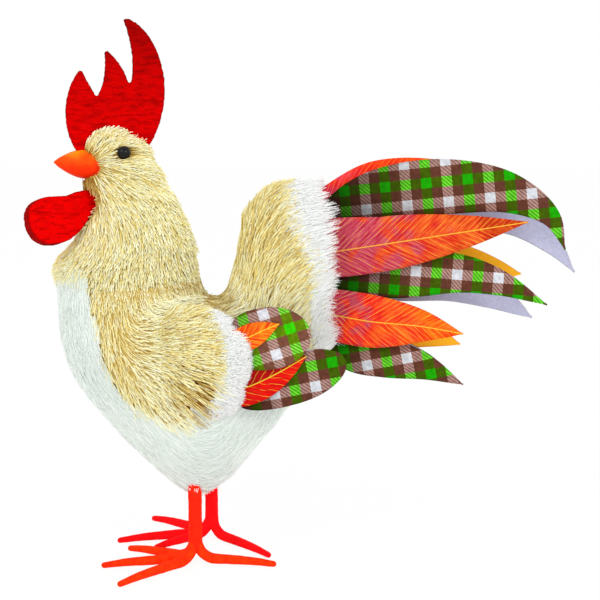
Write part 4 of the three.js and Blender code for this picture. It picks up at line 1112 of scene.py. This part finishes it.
class ROOSTER_OT_wing_coats(bpy.types.Operator):
    """Grows the straw and the white bristles of the two wings"""
    bl_idname = "rooster.wing_coats"
    bl_label = "Wing coats"

    def execute(self, context):
        look = context.scene.rooster_coats
        straw, white = material("sheared_palm_straw", straw_fibre), material("bleached_bristle", white_fibre)
        for name, side in SIDES.items():
            wing, rng = WINGS[name], np.random.default_rng(21 + side)
            shell, grown = self.pad(rng, look.wing_count, wing, side)
            # the wing pad's shell gets the darkest straw tone, painted shade under the strands
            mesh = coat("wing_" + name, shell, [grown], look.straw_width / MM, 0.7, 0.0)
            piece("bristle_wing_" + name, mesh, "straw", ("wing_pad_" + name,), straw)
            shell, fluff = self.fringe(rng, look.wing_fringe_count, wing, side)
            mesh = coat("wing_fringe_" + name, shell, [fluff], look.white_width / MM, 0.35, 1.0, knee=False)
            piece("bristle_wing_fringe_" + name, mesh, "white_bristle", ("wing_fringe_" + name,), white)
        return {"FINISHED"}

    def pad(self, rng, count, wing, side):
        """Straw of a wing: close above, and in sparse clumps towards its lower edge, darker there, with painted
        shade in the gaps between the clumps.
        """
        roots = scatter(rng, oval_surface(wing, side), count, (0.02, 1.95), ROUND)
        ragged = 5 * rng.random(len(roots.first)) - 11 - 5 * np.clip((118 - roots.point[:, 2]) / 20, 0, 1)
        border = self.border(roots.point) + ragged
        roots = kept(roots, (roots.point[:, 0] < border) & (roots.point[:, 2] > STRAW_FLOOR + 4))
        sparse = 0.8 * np.clip((138 - roots.point[:, 2]) / 22, 0, 1)
        share = (1 - sparse) * np.clip(1 + 1.4 * self.clumps(roots.point), 0.03, 1)
        roots = kept(roots, rng.random(len(share)) < share)
        clump = self.clumps(roots.point)
        roots = combed(roots, wing_fan(roots.point))
        low = np.clip((130 - roots.point[:, 2]) / 22, 0, 1)
        lift = np.interp(roots.point[:, 0], (-105, -88, -68), (34, 28, 16)) + 14 * low
        size = 12 + 3.5 * low
        # painted shade: strands in the gaps between clumps get darker tones
        grown = grow(rng, roots, (size * 0.8, size * 1.2), (lift * 0.6, lift * 1.4), stray=9 - 4 * low,
                     above=(-0.8 - low + 1.7 * clump, 1.0 + low + 1.7 * clump),
                     tone=(0.08 - 0.2 * low + 0.5 * clump, 0.97 - 0.45 * low + 0.5 * clump))
        return oval_shell(wing, side, 3.8, 0.92, -4.0), grown

    def fringe(self, rng, count, wing, side):
        """White crescent behind the straw, flaring out over the stems of the feathers."""
        surface = oval_surface(wing, side)
        roots = scatter(rng, lambda *place: flared(surface(*place), side), count, (0.2, 2.2), ROUND)
        ragged = 6 * rng.random(len(roots.first)) - 4
        roots = kept(roots, roots.point[:, 0] > self.border(roots.point) + ragged)
        out = roots.point - sided(wing.centre, side)
        roots = combed(roots, out * (1.3, 0.4, 1) + np.array((25.0, 0.0, 0.0)))
        fluff = grow(rng, roots, (4, 7), (8, 40), stray=22, above=(0.0, 1.6), tone=(0.85, 1.0))
        shell = oval_shell(wing, side, 0.9)
        bmesh.ops.bisect_plane(shell, geom=shell.verts[:] + shell.edges[:] + shell.faces[:],
                               plane_co=world((FLARE_START - 1, 0, 0)), plane_no=(1, 0, 0), clear_inner=True)
        bmesh.ops.holes_fill(shell, edges=shell.edges[:], sides=0)
        for vert in shell.verts:
            vert.co = world(flared(drawn(vert.co), side))
        return shell, fluff

    @staticmethod
    def clumps(points):
        """Strands that lie together, 1, and the gaps between them, -1: strong low on the wing and
        faint above."""
        x, z = points[:, 0] - FAN_ROOT[0], points[:, 2] - FAN_ROOT[1]
        reach, turn = np.hypot(x, z), np.arctan2(z, x)
        ridge = 0.6 * np.sin(64 * turn + 0.7 * np.sin(0.21 * reach))
        ridge += 0.4 * np.sin(105 * turn + 1.3 + np.sin(0.17 * reach))
        broken = 0.7 + 0.3 * np.sin(0.3 * reach + 23 * turn)
        return ridge * broken * np.clip((138 - points[:, 2]) / 22, 0.2, 1)

    @staticmethod
    def border(points):
        """Where along the wing the straw gives way to white, at a point's height."""
        return np.interp(points[:, 2], (88, 96, 107, 115, 122, 130, 145, 157, 165),
                         (-53, -50, -47, -41.5, -39.5, -38.5, -43.5, -52, -58))


def outline(start, *strokes):
    """A closed outline of lines, quadratic and cubic curves, each given by its later points."""
    points = [np.array(start, float)]
    for stroke in strokes:
        control = np.array([points[-1], *stroke], float)
        for step in np.linspace(0, 1, 2 if len(control) == 2 else 17)[1:]:
            level = control
            while len(level) > 1:
                level = level[:-1] + (level[1:] - level[:-1]) * step
            points.append(level[0])
    return points


COMB = outline(
    (-138, 253.1), ((-146.4, 266.5), (-146, 287), (-135.2, 301.3)), ((-133.2, 301.1),),
    ((-129.3, 292.1), (-124.8, 285.4)), ((-118, 295), (-119.6, 312.5)), ((-117.6, 313.3),),
    ((-107, 303.7), (-104.5, 290.4)), ((-101, 304.7), (-102.8, 318.3), (-107.8, 332.1)), ((-104.6, 332.6),),
    ((-85, 324), (-73.5, 285.2), (-94, 254.4)), ((-97.4, 251.8),), ((-120.4, 267.6), (-133, 250.8)))
WATTLE = outline(
    (-120, 229.9), ((-139, 228.9), (-147, 224.9)), ((-171.5, 228), (-171.5, 211.8)),
    ((-171, 196.4), (-157, 196)), ((-143, 197), (-133.2, 212)), ((-129, 217.5), (-120, 220.5)))


class ROOSTER_OT_felt(bpy.types.Operator):
    """Makes the felt comb and wattle"""
    bl_idname = "rooster.felt"
    bl_label = "Comb and wattle"

    def execute(self, context):
        look = context.scene.rooster_felt
        felt = material("pressed_wool_felt", wool_felt)
        mesh = self.plate(context, "comb", COMB, look.comb_felt, Matrix.Identity(4), look.voxel)
        piece("felt_comb", mesh, "red_felt", ("comb",), felt)
        hinge = Vector(WATTLE_HINGE) * MM
        swing = (Matrix.Translation(hinge) @ Matrix.Rotation(math.radians(WATTLE_TURN), 4, "Z")
                 @ Matrix.Rotation(math.radians(WATTLE_ROLL), 4, "X")
                 @ Matrix.Diagonal((WATTLE_STRETCH, 1.0, 1.0, 1.0)) @ Matrix.Translation(-hinge))
        mesh = self.plate(context, "wattle", WATTLE, look.wattle_felt, swing, look.voxel)
        piece("felt_wattle", mesh, "red_felt", ("wattle",), felt)
        return {"FINISHED"}

    @staticmethod
    def plate(context, name, points, felt, swing, voxel):
        """A felt cut-out: extruded, remeshed into fine cells, softened at its edges and creased."""
        bm = bmesh.new()
        face = bm.faces.new([bm.verts.new((x * MM, felt / 2, z * MM)) for x, z in points])
        made = bmesh.ops.extrude_face_region(bm, geom=[face], use_keep_orig=True)
        moved = [v for v in made["geom"] if isinstance(v, bmesh.types.BMVert)]
        bmesh.ops.translate(bm, verts=moved, vec=(0, -felt, 0))
        bmesh.ops.recalc_face_normals(bm, faces=bm.faces[:])
        rough = bpy.data.objects.new(name + "_rough", mesh_from(bm, name + "_rough"))
        context.scene.collection.objects.link(rough)
        remesh = rough.modifiers.new("Remesh", "REMESH")
        remesh.mode, remesh.voxel_size = "VOXEL", voxel
        graph = context.evaluated_depsgraph_get()
        fine = bpy.data.meshes.new_from_object(rough.evaluated_get(graph))
        bpy.data.objects.remove(rough)
        bm = bmesh.new()
        bm.from_mesh(fine)
        bpy.data.meshes.remove(fine)
        for _ in range(2):
            bmesh.ops.smooth_vert(bm, verts=bm.verts[:], factor=0.5, use_axis_x=True, use_axis_y=True,
                                  use_axis_z=True)
        bm.normal_update()
        rim = bm.verts.layers.float.new("rim")
        for vert in bm.verts:
            p = vert.co / MM
            # rim marks the cut edges, which get painted shade in the felt
            vert[rim] = min(1.0, 1.7 * (1 - abs(vert.normal.y)))
            fold = 1 - abs(noise.noise((p.x / 10, p.y / 30, p.z / 3.0)))
            crease = 0.7 * (fold ** 4 - 0.45) * (0.4 + 0.6 * noise.noise((p.x / 21 + 7, 0, p.z / 17)))
            pill = noise.noise(p / 1.7) * 0.22
            vert.co += vert.normal * (crease + pill) * MM
        turn = Matrix.Translation(Vector(HEAD) * MM) @ Matrix.Rotation(HEAD_TURN, 4, "Z")
        turn = turn @ Matrix.Translation(Vector(HEAD) * -MM)
        bm.transform(Matrix.Translation(Vector(ORIGIN) * MM) @ turn @ swing)
        return mesh_from(bm, name)


def tube(centres, radii, sides, ridge=None):
    """A closed tube through centres in the drawing; ridge gives a share of the radius to add."""
    bm = bmesh.new()
    centres = np.asarray(centres, float)
    ways = unit(np.gradient(centres, axis=0))
    side = unit(np.cross(ways[0], (0.31, 0.53, 0.79)))
    run = np.concatenate(((0.0,), np.cumsum(np.linalg.norm(np.diff(centres, axis=0), axis=1))))
    loops = []
    for centre, way, radius, along in zip(world(centres), ways, np.asarray(radii) * MM, run):
        side = unit(side - way * np.dot(side, way))
        place = Matrix((side, np.cross(way, side), way)).transposed().to_4x4()
        place = Matrix.Translation(centre) @ place @ Matrix.Diagonal((radius, radius, radius, 1.0))
        ring = bmesh.ops.create_circle(bm, segments=sides, radius=1.0, matrix=place)["verts"]
        if ridge:
            for index, vert in enumerate(ring):
                swell = 1 + ridge(along, 2 * math.pi * index / sides)
                vert.co = Vector(centre) + (vert.co - Vector(centre)) * swell
        loops.append({edge for vert in ring for edge in vert.link_edges})
    bridge(bm, loops)
    bmesh.ops.holes_fill(bm, edges=list(loops[0] | loops[-1]), sides=0)
    bmesh.ops.recalc_face_normals(bm, faces=bm.faces[:])
    return bm


class ROOSTER_OT_beak(bpy.types.Operator):
    """Makes the beak, a blunt cone with full cheeks, a ridge and a mouth line"""
    bl_idname = "rooster.beak"
    bl_label = "Beak"

    def execute(self, context):
        tip, base = np.array((BEAK_TIP, 0, 245.9)), np.array((-122.7, 0, 243.9))
        way = np.concatenate((np.linspace(0, 0.12, 10), np.linspace(0.14, 1, 44)))
        swell = beak_swell(way)
        swell[:10] *= np.sqrt(np.clip(1 - (1 - way[:10] / 0.12) ** 2, 0.02, 1))
        bm = tube(tip + (base - tip) * way[:, None], BEAK_RADIUS * swell, 40)
        for vert in bm.verts:
            p = drawn(vert.co)
            share = min(max((p[0] - tip[0]) / BEAK_LENGTH, 0), 1)
            up = p[2] - (tip[2] + (base[2] - tip[2]) * share)
            size = BEAK_RADIUS * float(beak_swell(share))
            p[1] *= (8 + 2.4 * share ** 2) / BEAK_RADIUS
            mouth = math.exp(-((up + 0.22 * size) / 0.55) ** 2) * min(share * 6, 1)
            p[1] *= 1 - 0.09 * mouth
            p[2] += 0.35 * math.exp(-(p[1] / 1.6) ** 2) * (up > 0) * share
            vert.co = world(turn_head(p))
        bmesh.ops.recalc_face_normals(bm, faces=bm.faces[:])
        paint = material("satin_paint_on_foam", beak_paint)
        piece("painted_beak", mesh_from(bm, "beak"), "beak_orange", ("beak",), paint)
        return {"FINISHED"}


class ROOSTER_OT_eyes(bpy.types.Operator):
    """Makes the two bead eyes on their stems"""
    bl_idname = "rooster.eyes"
    bl_label = "Eyes"

    def execute(self, context):
        glass = material("black_pressed_glass", black_glass)
        for name, side in SIDES.items():
            centre, inner = turn_head(sided(EYE, side)), turn_head(sided(EYE, side * 0.22))
            stem = [inner + (centre - inner) * share for share in np.linspace(0, 0.8, 6)]
            bm = tube(stem, [EYE_STEM] * len(stem), 16)
            bmesh.ops.create_uvsphere(bm, u_segments=40, v_segments=24, radius=EYE_RADIUS * MM,
                                      matrix=Matrix.Translation(world(centre)))
            piece("bead_eye_" + name, mesh_from(bm, "eye_" + name), "black_bead", ("eye_" + name,), glass)
        return {"FINISHED"}


def feather_line(feather, side):
    """The middle line on one side; the right-hand copy droops about its root and is stretched."""
    points = np.array(feather.line, float)
    reach = points - points[0]
    fall = math.radians(feather.droop) if side > 0 else 0.0
    scale = feather.stretch if side > 0 else 1.0
    x = reach[:, 0] * math.cos(fall) + reach[:, 1] * math.sin(fall)
    z = reach[:, 1] * math.cos(fall) - reach[:, 0] * math.sin(fall)
    out = np.linspace(*feather.out, len(points)) * side
    line = np.column_stack((points[0, 0] + scale * x, out, points[0, 1] + scale * z))
    if side > 0 and feather.far_tip:
        line[-1, (0, 2)] = feather.far_tip
    return line


def blade_half(feather, way, side=-1):
    """Half the width of a feather at a share of its length; a far one may have a blunter or slimmer tip."""
    fullness = 0.14 if feather.cloth == "leaf" else 0.3 if feather.rounded else 0.55
    rise = (np.minimum(way, feather.widest) / feather.widest) ** fullness
    base = np.maximum(2.2, feather.half * np.sin(math.pi / 2 * rise))
    rest = np.clip((way - feather.widest) / (1 - feather.widest), 0, 1)
    power = feather.far_taper if side > 0 else FEATHER_TAPER
    taper = np.sqrt(1 - rest ** 2) if feather.rounded else 1 - rest ** power
    return np.where(way < feather.widest, base, np.maximum(0.5, feather.half * taper))


def make_feather(context, feather, side, node, cup, materials):
    """One cloth feather: a grid shaped to its blade, cupped, and given its thickness."""
    look = context.scene.rooster_cloth
    steps, rows = 56, 14
    centres, run = even_line(feather_line(feather, side), steps + 1)
    ways = unit(np.gradient(centres, axis=0) * (1, 0, 1))
    bm = bmesh.new()
    bmesh.ops.create_grid(bm, x_segments=steps, y_segments=rows, size=0.5)
    low = min(v.co.x for v in bm.verts)
    span = max(v.co.x for v in bm.verts) - low
    grain = bm.verts.layers.float.new("way")
    cloth = bm.loops.layers.uv.new("cloth")
    flat = {}
    outward = side or -1
    for vert in bm.verts:
        way, across = (vert.co.x - low) / span, 2 * (vert.co.y - low) / span - 1
        index = int(round(way * steps))
        centre, ahead = centres[index], ways[index]
        half = float(blade_half(feather, way, side))
        if feather.name == "tail_leaf_upper" and across > 0:
            half *= 1 + 0.35 * max(0.0, 1 - way / 0.3)
        up = np.array((-ahead[2], 0.0, ahead[0]))
        point = centre + up * across * half
        ripple = 0.5 * noise.noise((point[0] / 22, side * 3.1, point[2] / 16))
        point[1] += outward * (cup * math.sin(math.pi * way) * (1 - across ** 2) + ripple * min(1, way * 3))
        vert.co = world(point)
        vert[grain] = way
        if feather.check:
            x0, z0, turn = feather.check
            c, s = math.cos(math.radians(turn)), math.sin(math.radians(turn))
            dx, dz = point[0] - x0, point[2] - z0
            flat[vert] = ((dx * c + dz * s) * MM, (dz * c - dx * s) * MM)
        else:
            flat[vert] = (way * run * MM, across * half * MM)
    for face in bm.faces:
        for loop in face.loops:
            loop[cloth].uv = flat[loop.vert]
    bm.normal_update()
    bmesh.ops.solidify(bm, geom=bm.faces[:], thickness=look.cloth_thickness)
    bmesh.ops.recalc_face_normals(bm, faces=bm.faces[:])
    for face in bm.faces:
        face.material_index = 1 if face.normal.y * outward < -0.35 and side else 0
    obj = piece("cloth_" + node, mesh_from(bm, node), feather.cloth + "_cloth", (node,), *materials)
    return obj


def cloth_materials(context, feather):
    """Front and back of a feather."""
    look = context.scene.rooster_cloth
    if feather.cloth == "plaid":
        # shade: how dark the painted shade at the base of a plaid feather goes
        name, shade = "plaid_twill", "#747474"
        yarns = (look.check_white, look.check_brown, look.check_green,
                 look.white_brown, look.white_green, look.brown_green)
        # a lit copy for the upper wing feathers: painted light in lighter yarns and less painted shade at the
        # base
        if feather.name == "wing_plaid_upper":
            name, shade = "plaid_twill_painted_light", "#C4C4C4"
            yarns = ("#E2E4EA", "#7C4E3C", "#38D406", "#C49A8E", "#84EA40", "#608806")
        return (material(name, lambda tree: plaid_weave(tree, shade, *yarns)),
                material("bonded_backing", cloth_backing))
    # name, stops from base to tip with the ends first, vein, its spacing, painted shade on the upper half,
    # share of gold
    name, *print_of_it = {
        "wing_leaf_lower": ("red", ((0.0, "#C80400"), (1.0, "#E01C02"), (0.5, "#D80400")),
                            "#DCC032", 6.5, 0.45, 0.06),
        "wing_leaf_upper": ("orange", ((0.0, "#EE3A08"), (0.9, "#F67E0C"), (0.4, "#F2640A")),
                            "#F8C030", 5.0, 0.1),
        "tail_leaf_top": ("flame", ((0.0, "#EE4064"), (0.8, "#FF5008"), (0.3, "#F83424"), (0.5, "#FF4410")),
                          "#FF8A30", 4.4, 0.0, 0.1),
        "tail_leaf_lower": ("fiery", ((0.12, look.leaf_mauve), (0.85, look.leaf_yellow), (0.32, "#EE2E1E"),
                                      (0.6, "#F25A18")), "#EEB43A", 4.4),
        "tail_leaf_upper": ("print", ((0.24, look.leaf_mauve), (0.92, look.leaf_tip), (0.46, look.leaf_red),
                                      (0.7, look.leaf_orange)), "#E8AC38", 4.4),
    }[feather.name]
    return (material("leaf_satin_" + name, lambda tree: leaf_print(tree, *print_of_it)),
            material("leaf_satin_back", leaf_back))


class ROOSTER_OT_tail_feathers(bpy.types.Operator):
    """Cuts and hangs the cloth feathers of the tail"""
    bl_idname = "rooster.tail_feathers"
    bl_label = "Tail feathers"

    def execute(self, context):
        for feather in TAIL_FEATHERS:
            materials = cloth_materials(context, feather)
            copies = {"_" + name: side for name, side in SIDES.items()}
            if feather.name == "tail_leaf_top":
                copies = {"": 0}
            for ending, side in copies.items():
                node = feather.name + ending
                make_feather(context, feather, side, node, FEATHER_CUP, materials)
        return {"FINISHED"}


class ROOSTER_OT_wing_feathers(bpy.types.Operator):
    """Cuts and sets the cloth feathers of the wings"""
    bl_idname = "rooster.wing_feathers"
    bl_label = "Wing feathers"

    def execute(self, context):
        for feather in WING_FEATHERS:
            materials = cloth_materials(context, feather)
            for name, side in SIDES.items():
                node = feather.name + "_" + name
                make_feather(context, feather, side, node, 0.0, materials)
        return {"FINISHED"}


class ROOSTER_OT_legs(bpy.types.Operator):
    """Winds the shanks and the toes"""
    bl_idname = "rooster.legs"
    bl_label = "Legs"

    def execute(self, context):
        look = context.scene.rooster_legs
        thick, thin = look.toe_radius / MM, look.tip_radius / MM
        wraps = {"left": (look.left_wrap, look.left_deep), "right": (look.right_wrap, look.right_deep)}
        foot_wraps = {"left": (look.left_foot, look.left_foot_deep), "right": wraps["right"]}
        for name, side in SIDES.items():
            tape = material("flocked_tape_" + name, lambda tree: leg_tape(tree, *wraps[name]))
            foot_tape = material("flocked_tape_foot_" + name, lambda tree: leg_tape(tree, *foot_wraps[name]))
            foot = shank_foot(side)
            heights = np.linspace(SHANK_TOP, SHANK_END, 90)
            radii = look.shank_radius / MM * (1 + 0.1 * np.clip((22 - heights) / 14, 0, 1) ** 2)
            shank = tube(foot + np.outer(heights, (0, 0, 1)), radii, 28, self.winding)
            made = [("shank_" + name, shank, tape)]
            made += [("toe_" + toe + "_" + name, self.toe(foot, *lie, thick, thin), foot_tape)
                     for toe, lie in TOES[name].items()]
            for node, bm, wrap in made:
                piece("wrapped_" + node, mesh_from(bm, node), "leg_wrap", (node,), wrap)
        return {"FINISHED"}

    def toe(self, foot, heading, reach, thick, thin):
        """A toe that comes down with the shank, lies along its heading and is rounded at its tip."""
        rings = 110
        turn = math.radians(heading)
        way = np.array((-math.cos(turn), -math.sin(turn), 0.0))
        lying, tip_lying = thick - 0.3, thin - 0.3
        line = [foot + way * far + (0, 0, high) for far, high in (
            (0.3, 17), (1.6, 11), (4.6, 6.2), (10, lying * 1.12), (reach * 0.4, lying),
            (reach * 0.75, (lying + tip_lying) / 2 + 0.4), (reach, tip_lying))]
        centres, run = even_line(line, rings)
        share = np.linspace(0, 1, rings)
        rest = np.minimum((1 - share) * run / thin, 1)
        radii = (thick + (thin - thick) * share ** 2.2) * np.sqrt(np.clip(1 - (1 - rest) ** 2, 0.03, 1))
        bm = tube(centres, radii, 24, self.winding)
        for vert in bm.verts:
            vert.co.z = max(vert.co.z, 0.0)
        return bm

    @staticmethod
    def winding(along, turn):
        """The overlap of the wound tape, and the unevenness of handwork."""
        phase = (along / TAPE_TURN + turn / (2 * math.pi)) % 1
        lap = 0.035 * (phase if phase < 0.85 else (1 - phase) / 0.15 * 0.85)
        uneven = 0.05 * noise.noise((along / 9, math.cos(turn), math.sin(turn)))
        return lap + uneven


class ROOSTER_OT_inner_parts(bpy.types.Operator):
    """Gives the foam and the wires inside the figure their finish"""
    bl_idname = "rooster.inner_parts"
    bl_label = "Foam and wires"

    def execute(self, context):
        finishes = {
            material("expanded_bead_foam", bead_foam): ("neck_core", "torso_core"),
            material("drawn_steel_wire", drawn_steel): (
                "neck_pin", "tail_pin", "leg_wire_left", "leg_wire_right"),
        }
        for coating, nodes in finishes.items():
            for node in nodes:
                slots = frame["nodes"][node].material_slots
                if not slots:
                    raise RuntimeError(node + " has no material slot")
                for slot in slots:
                    slot.material = coating
        return {"FINISHED"}


class ROOSTER_OT_stage(bpy.types.Operator):
    """Sets the floor, the lamps and the camera"""
    bl_idname = "rooster.stage"
    bl_label = "Stage"

    def execute(self, context):
        look, scene = context.scene.rooster_stage, context.scene
        middle = Vector(world((0.0, 0.0, 160.9)))

        bm = bmesh.new()
        bmesh.ops.create_grid(bm, x_segments=1, y_segments=1, size=6.0)
        bmesh.ops.translate(bm, verts=bm.verts[:], vec=(0, 0, -0.0002))
        floor = bpy.data.objects.new("floor", mesh_from(bm, "floor", False))
        floor.data.materials.append(material("pale_paper", self.paper))
        scene.collection.objects.link(floor)

        world_light = bpy.data.worlds.new("soft_room")
        world_light.use_nodes = True
        tree = world_light.node_tree
        tree.nodes.clear()
        plain = add(tree, "Background", {"Color": "#FFFFFF", "Strength": look.sky})
        white = add(tree, "Background", {"Color": "#FFFFFF", "Strength": 1.0})
        both = add(tree, "MixShader", {0: self.seen(tree), 1: plain, 2: white})
        add(tree, "OutputWorld", {"Surface": both})
        scene.world = world_light

        for name, spot, size, power in (
                ("key", (0.8, -0.85, 0.75), 0.35, look.key_power),
                ("fill", (-0.75, -1.05, 1.0), 0.3, look.fill_power)):
            lamp = bpy.data.lights.new(name, "AREA")
            lamp.energy, lamp.size = power, size
            obj = bpy.data.objects.new(name, lamp)
            obj.location = spot
            obj.rotation_euler = (middle - Vector(spot)).to_track_quat("-Z", "Y").to_euler()
            scene.collection.objects.link(obj)

        camera = bpy.data.cameras.new("camera")
        camera.lens, camera.sensor_width, camera.sensor_fit = look.lens, 36.0, "HORIZONTAL"
        camera.clip_start, camera.clip_end = 0.05, 50.0
        view = bpy.data.objects.new("camera", camera)
        turn, rise = look.azimuth, look.elevation
        back = Vector((math.sin(turn) * math.cos(rise), -math.cos(turn) * math.cos(rise), math.sin(rise)))
        view.location = middle + back * look.distance
        view.rotation_euler = (-back).to_track_quat("-Z", "Y").to_euler()
        scene.collection.objects.link(view)
        scene.camera = view
        scene.view_settings.view_transform = "Standard"
        return {"FINISHED"}

    @staticmethod
    def seen(tree):
        """1 for rays from the camera, mirrors and glass."""
        rays = add(tree, "LightPath").outputs
        seen = rays["Is Camera Ray"]
        for ray in ("Is Glossy Ray", "Is Transmission Ray"):
            seen = add(tree, "Math", {0: seen, 1: rays[ray]}, operation="MAXIMUM")
        return seen

    def paper(self, tree):
        """White paper that reads as the page and keeps a light shadow."""
        matt = add(tree, "BsdfDiffuse", {"Color": "#FFFFFF"})
        glow = add(tree, "Emission", {"Color": "#FFFFFF", "Strength": 1.0})
        share = add(tree, "Math", {0: self.seen(tree), 1: 0.92}, operation="MULTIPLY")
        return add(tree, "MixShader", {0: share, 1: matt, 2: glow})


PIECES = (
    ROOSTER_OT_stage, ROOSTER_OT_body_coats, ROOSTER_OT_wing_coats, ROOSTER_OT_felt, ROOSTER_OT_beak,
    ROOSTER_OT_eyes, ROOSTER_OT_tail_feathers, ROOSTER_OT_wing_feathers, ROOSTER_OT_legs,
    ROOSTER_OT_inner_parts,
)
SETTINGS = {
    "rooster_coats": CoatSettings, "rooster_felt": FeltSettings, "rooster_cloth": ClothSettings,
    "rooster_legs": LegSettings, "rooster_stage": StageSettings,
}


class VIEW3D_PT_rooster(bpy.types.Panel):
    """Lists the rooster's pieces and settings"""
    bl_label = "Straw rooster"
    bl_space_type = "VIEW_3D"
    bl_region_type = "UI"
    bl_category = "Rooster"

    def draw(self, context):
        for made in PIECES:
            self.layout.operator(made.bl_idname)
        for name, group in SETTINGS.items():
            box = self.layout.box()
            box.label(text=group.__doc__)
            for key in group.__annotations__:
                box.prop(getattr(context.scene, name), key)


def register():
    for made in (*SETTINGS.values(), *PIECES, VIEW3D_PT_rooster):
        bpy.utils.register_class(made)
    for name, group in SETTINGS.items():
        setattr(bpy.types.Scene, name, PointerProperty(type=group))


def unregister():
    for name in SETTINGS:
        delattr(bpy.types.Scene, name)
    for made in (VIEW3D_PT_rooster, *reversed(PIECES), *reversed(tuple(SETTINGS.values()))):
        bpy.utils.unregister_class(made)


def main():
    """Registers the classes and makes every piece in order."""
    register()
    for made in PIECES:
        family, name = made.bl_idname.split(".")
        getattr(getattr(bpy.ops, family), name)()


if __name__ == "__main__":
    main()
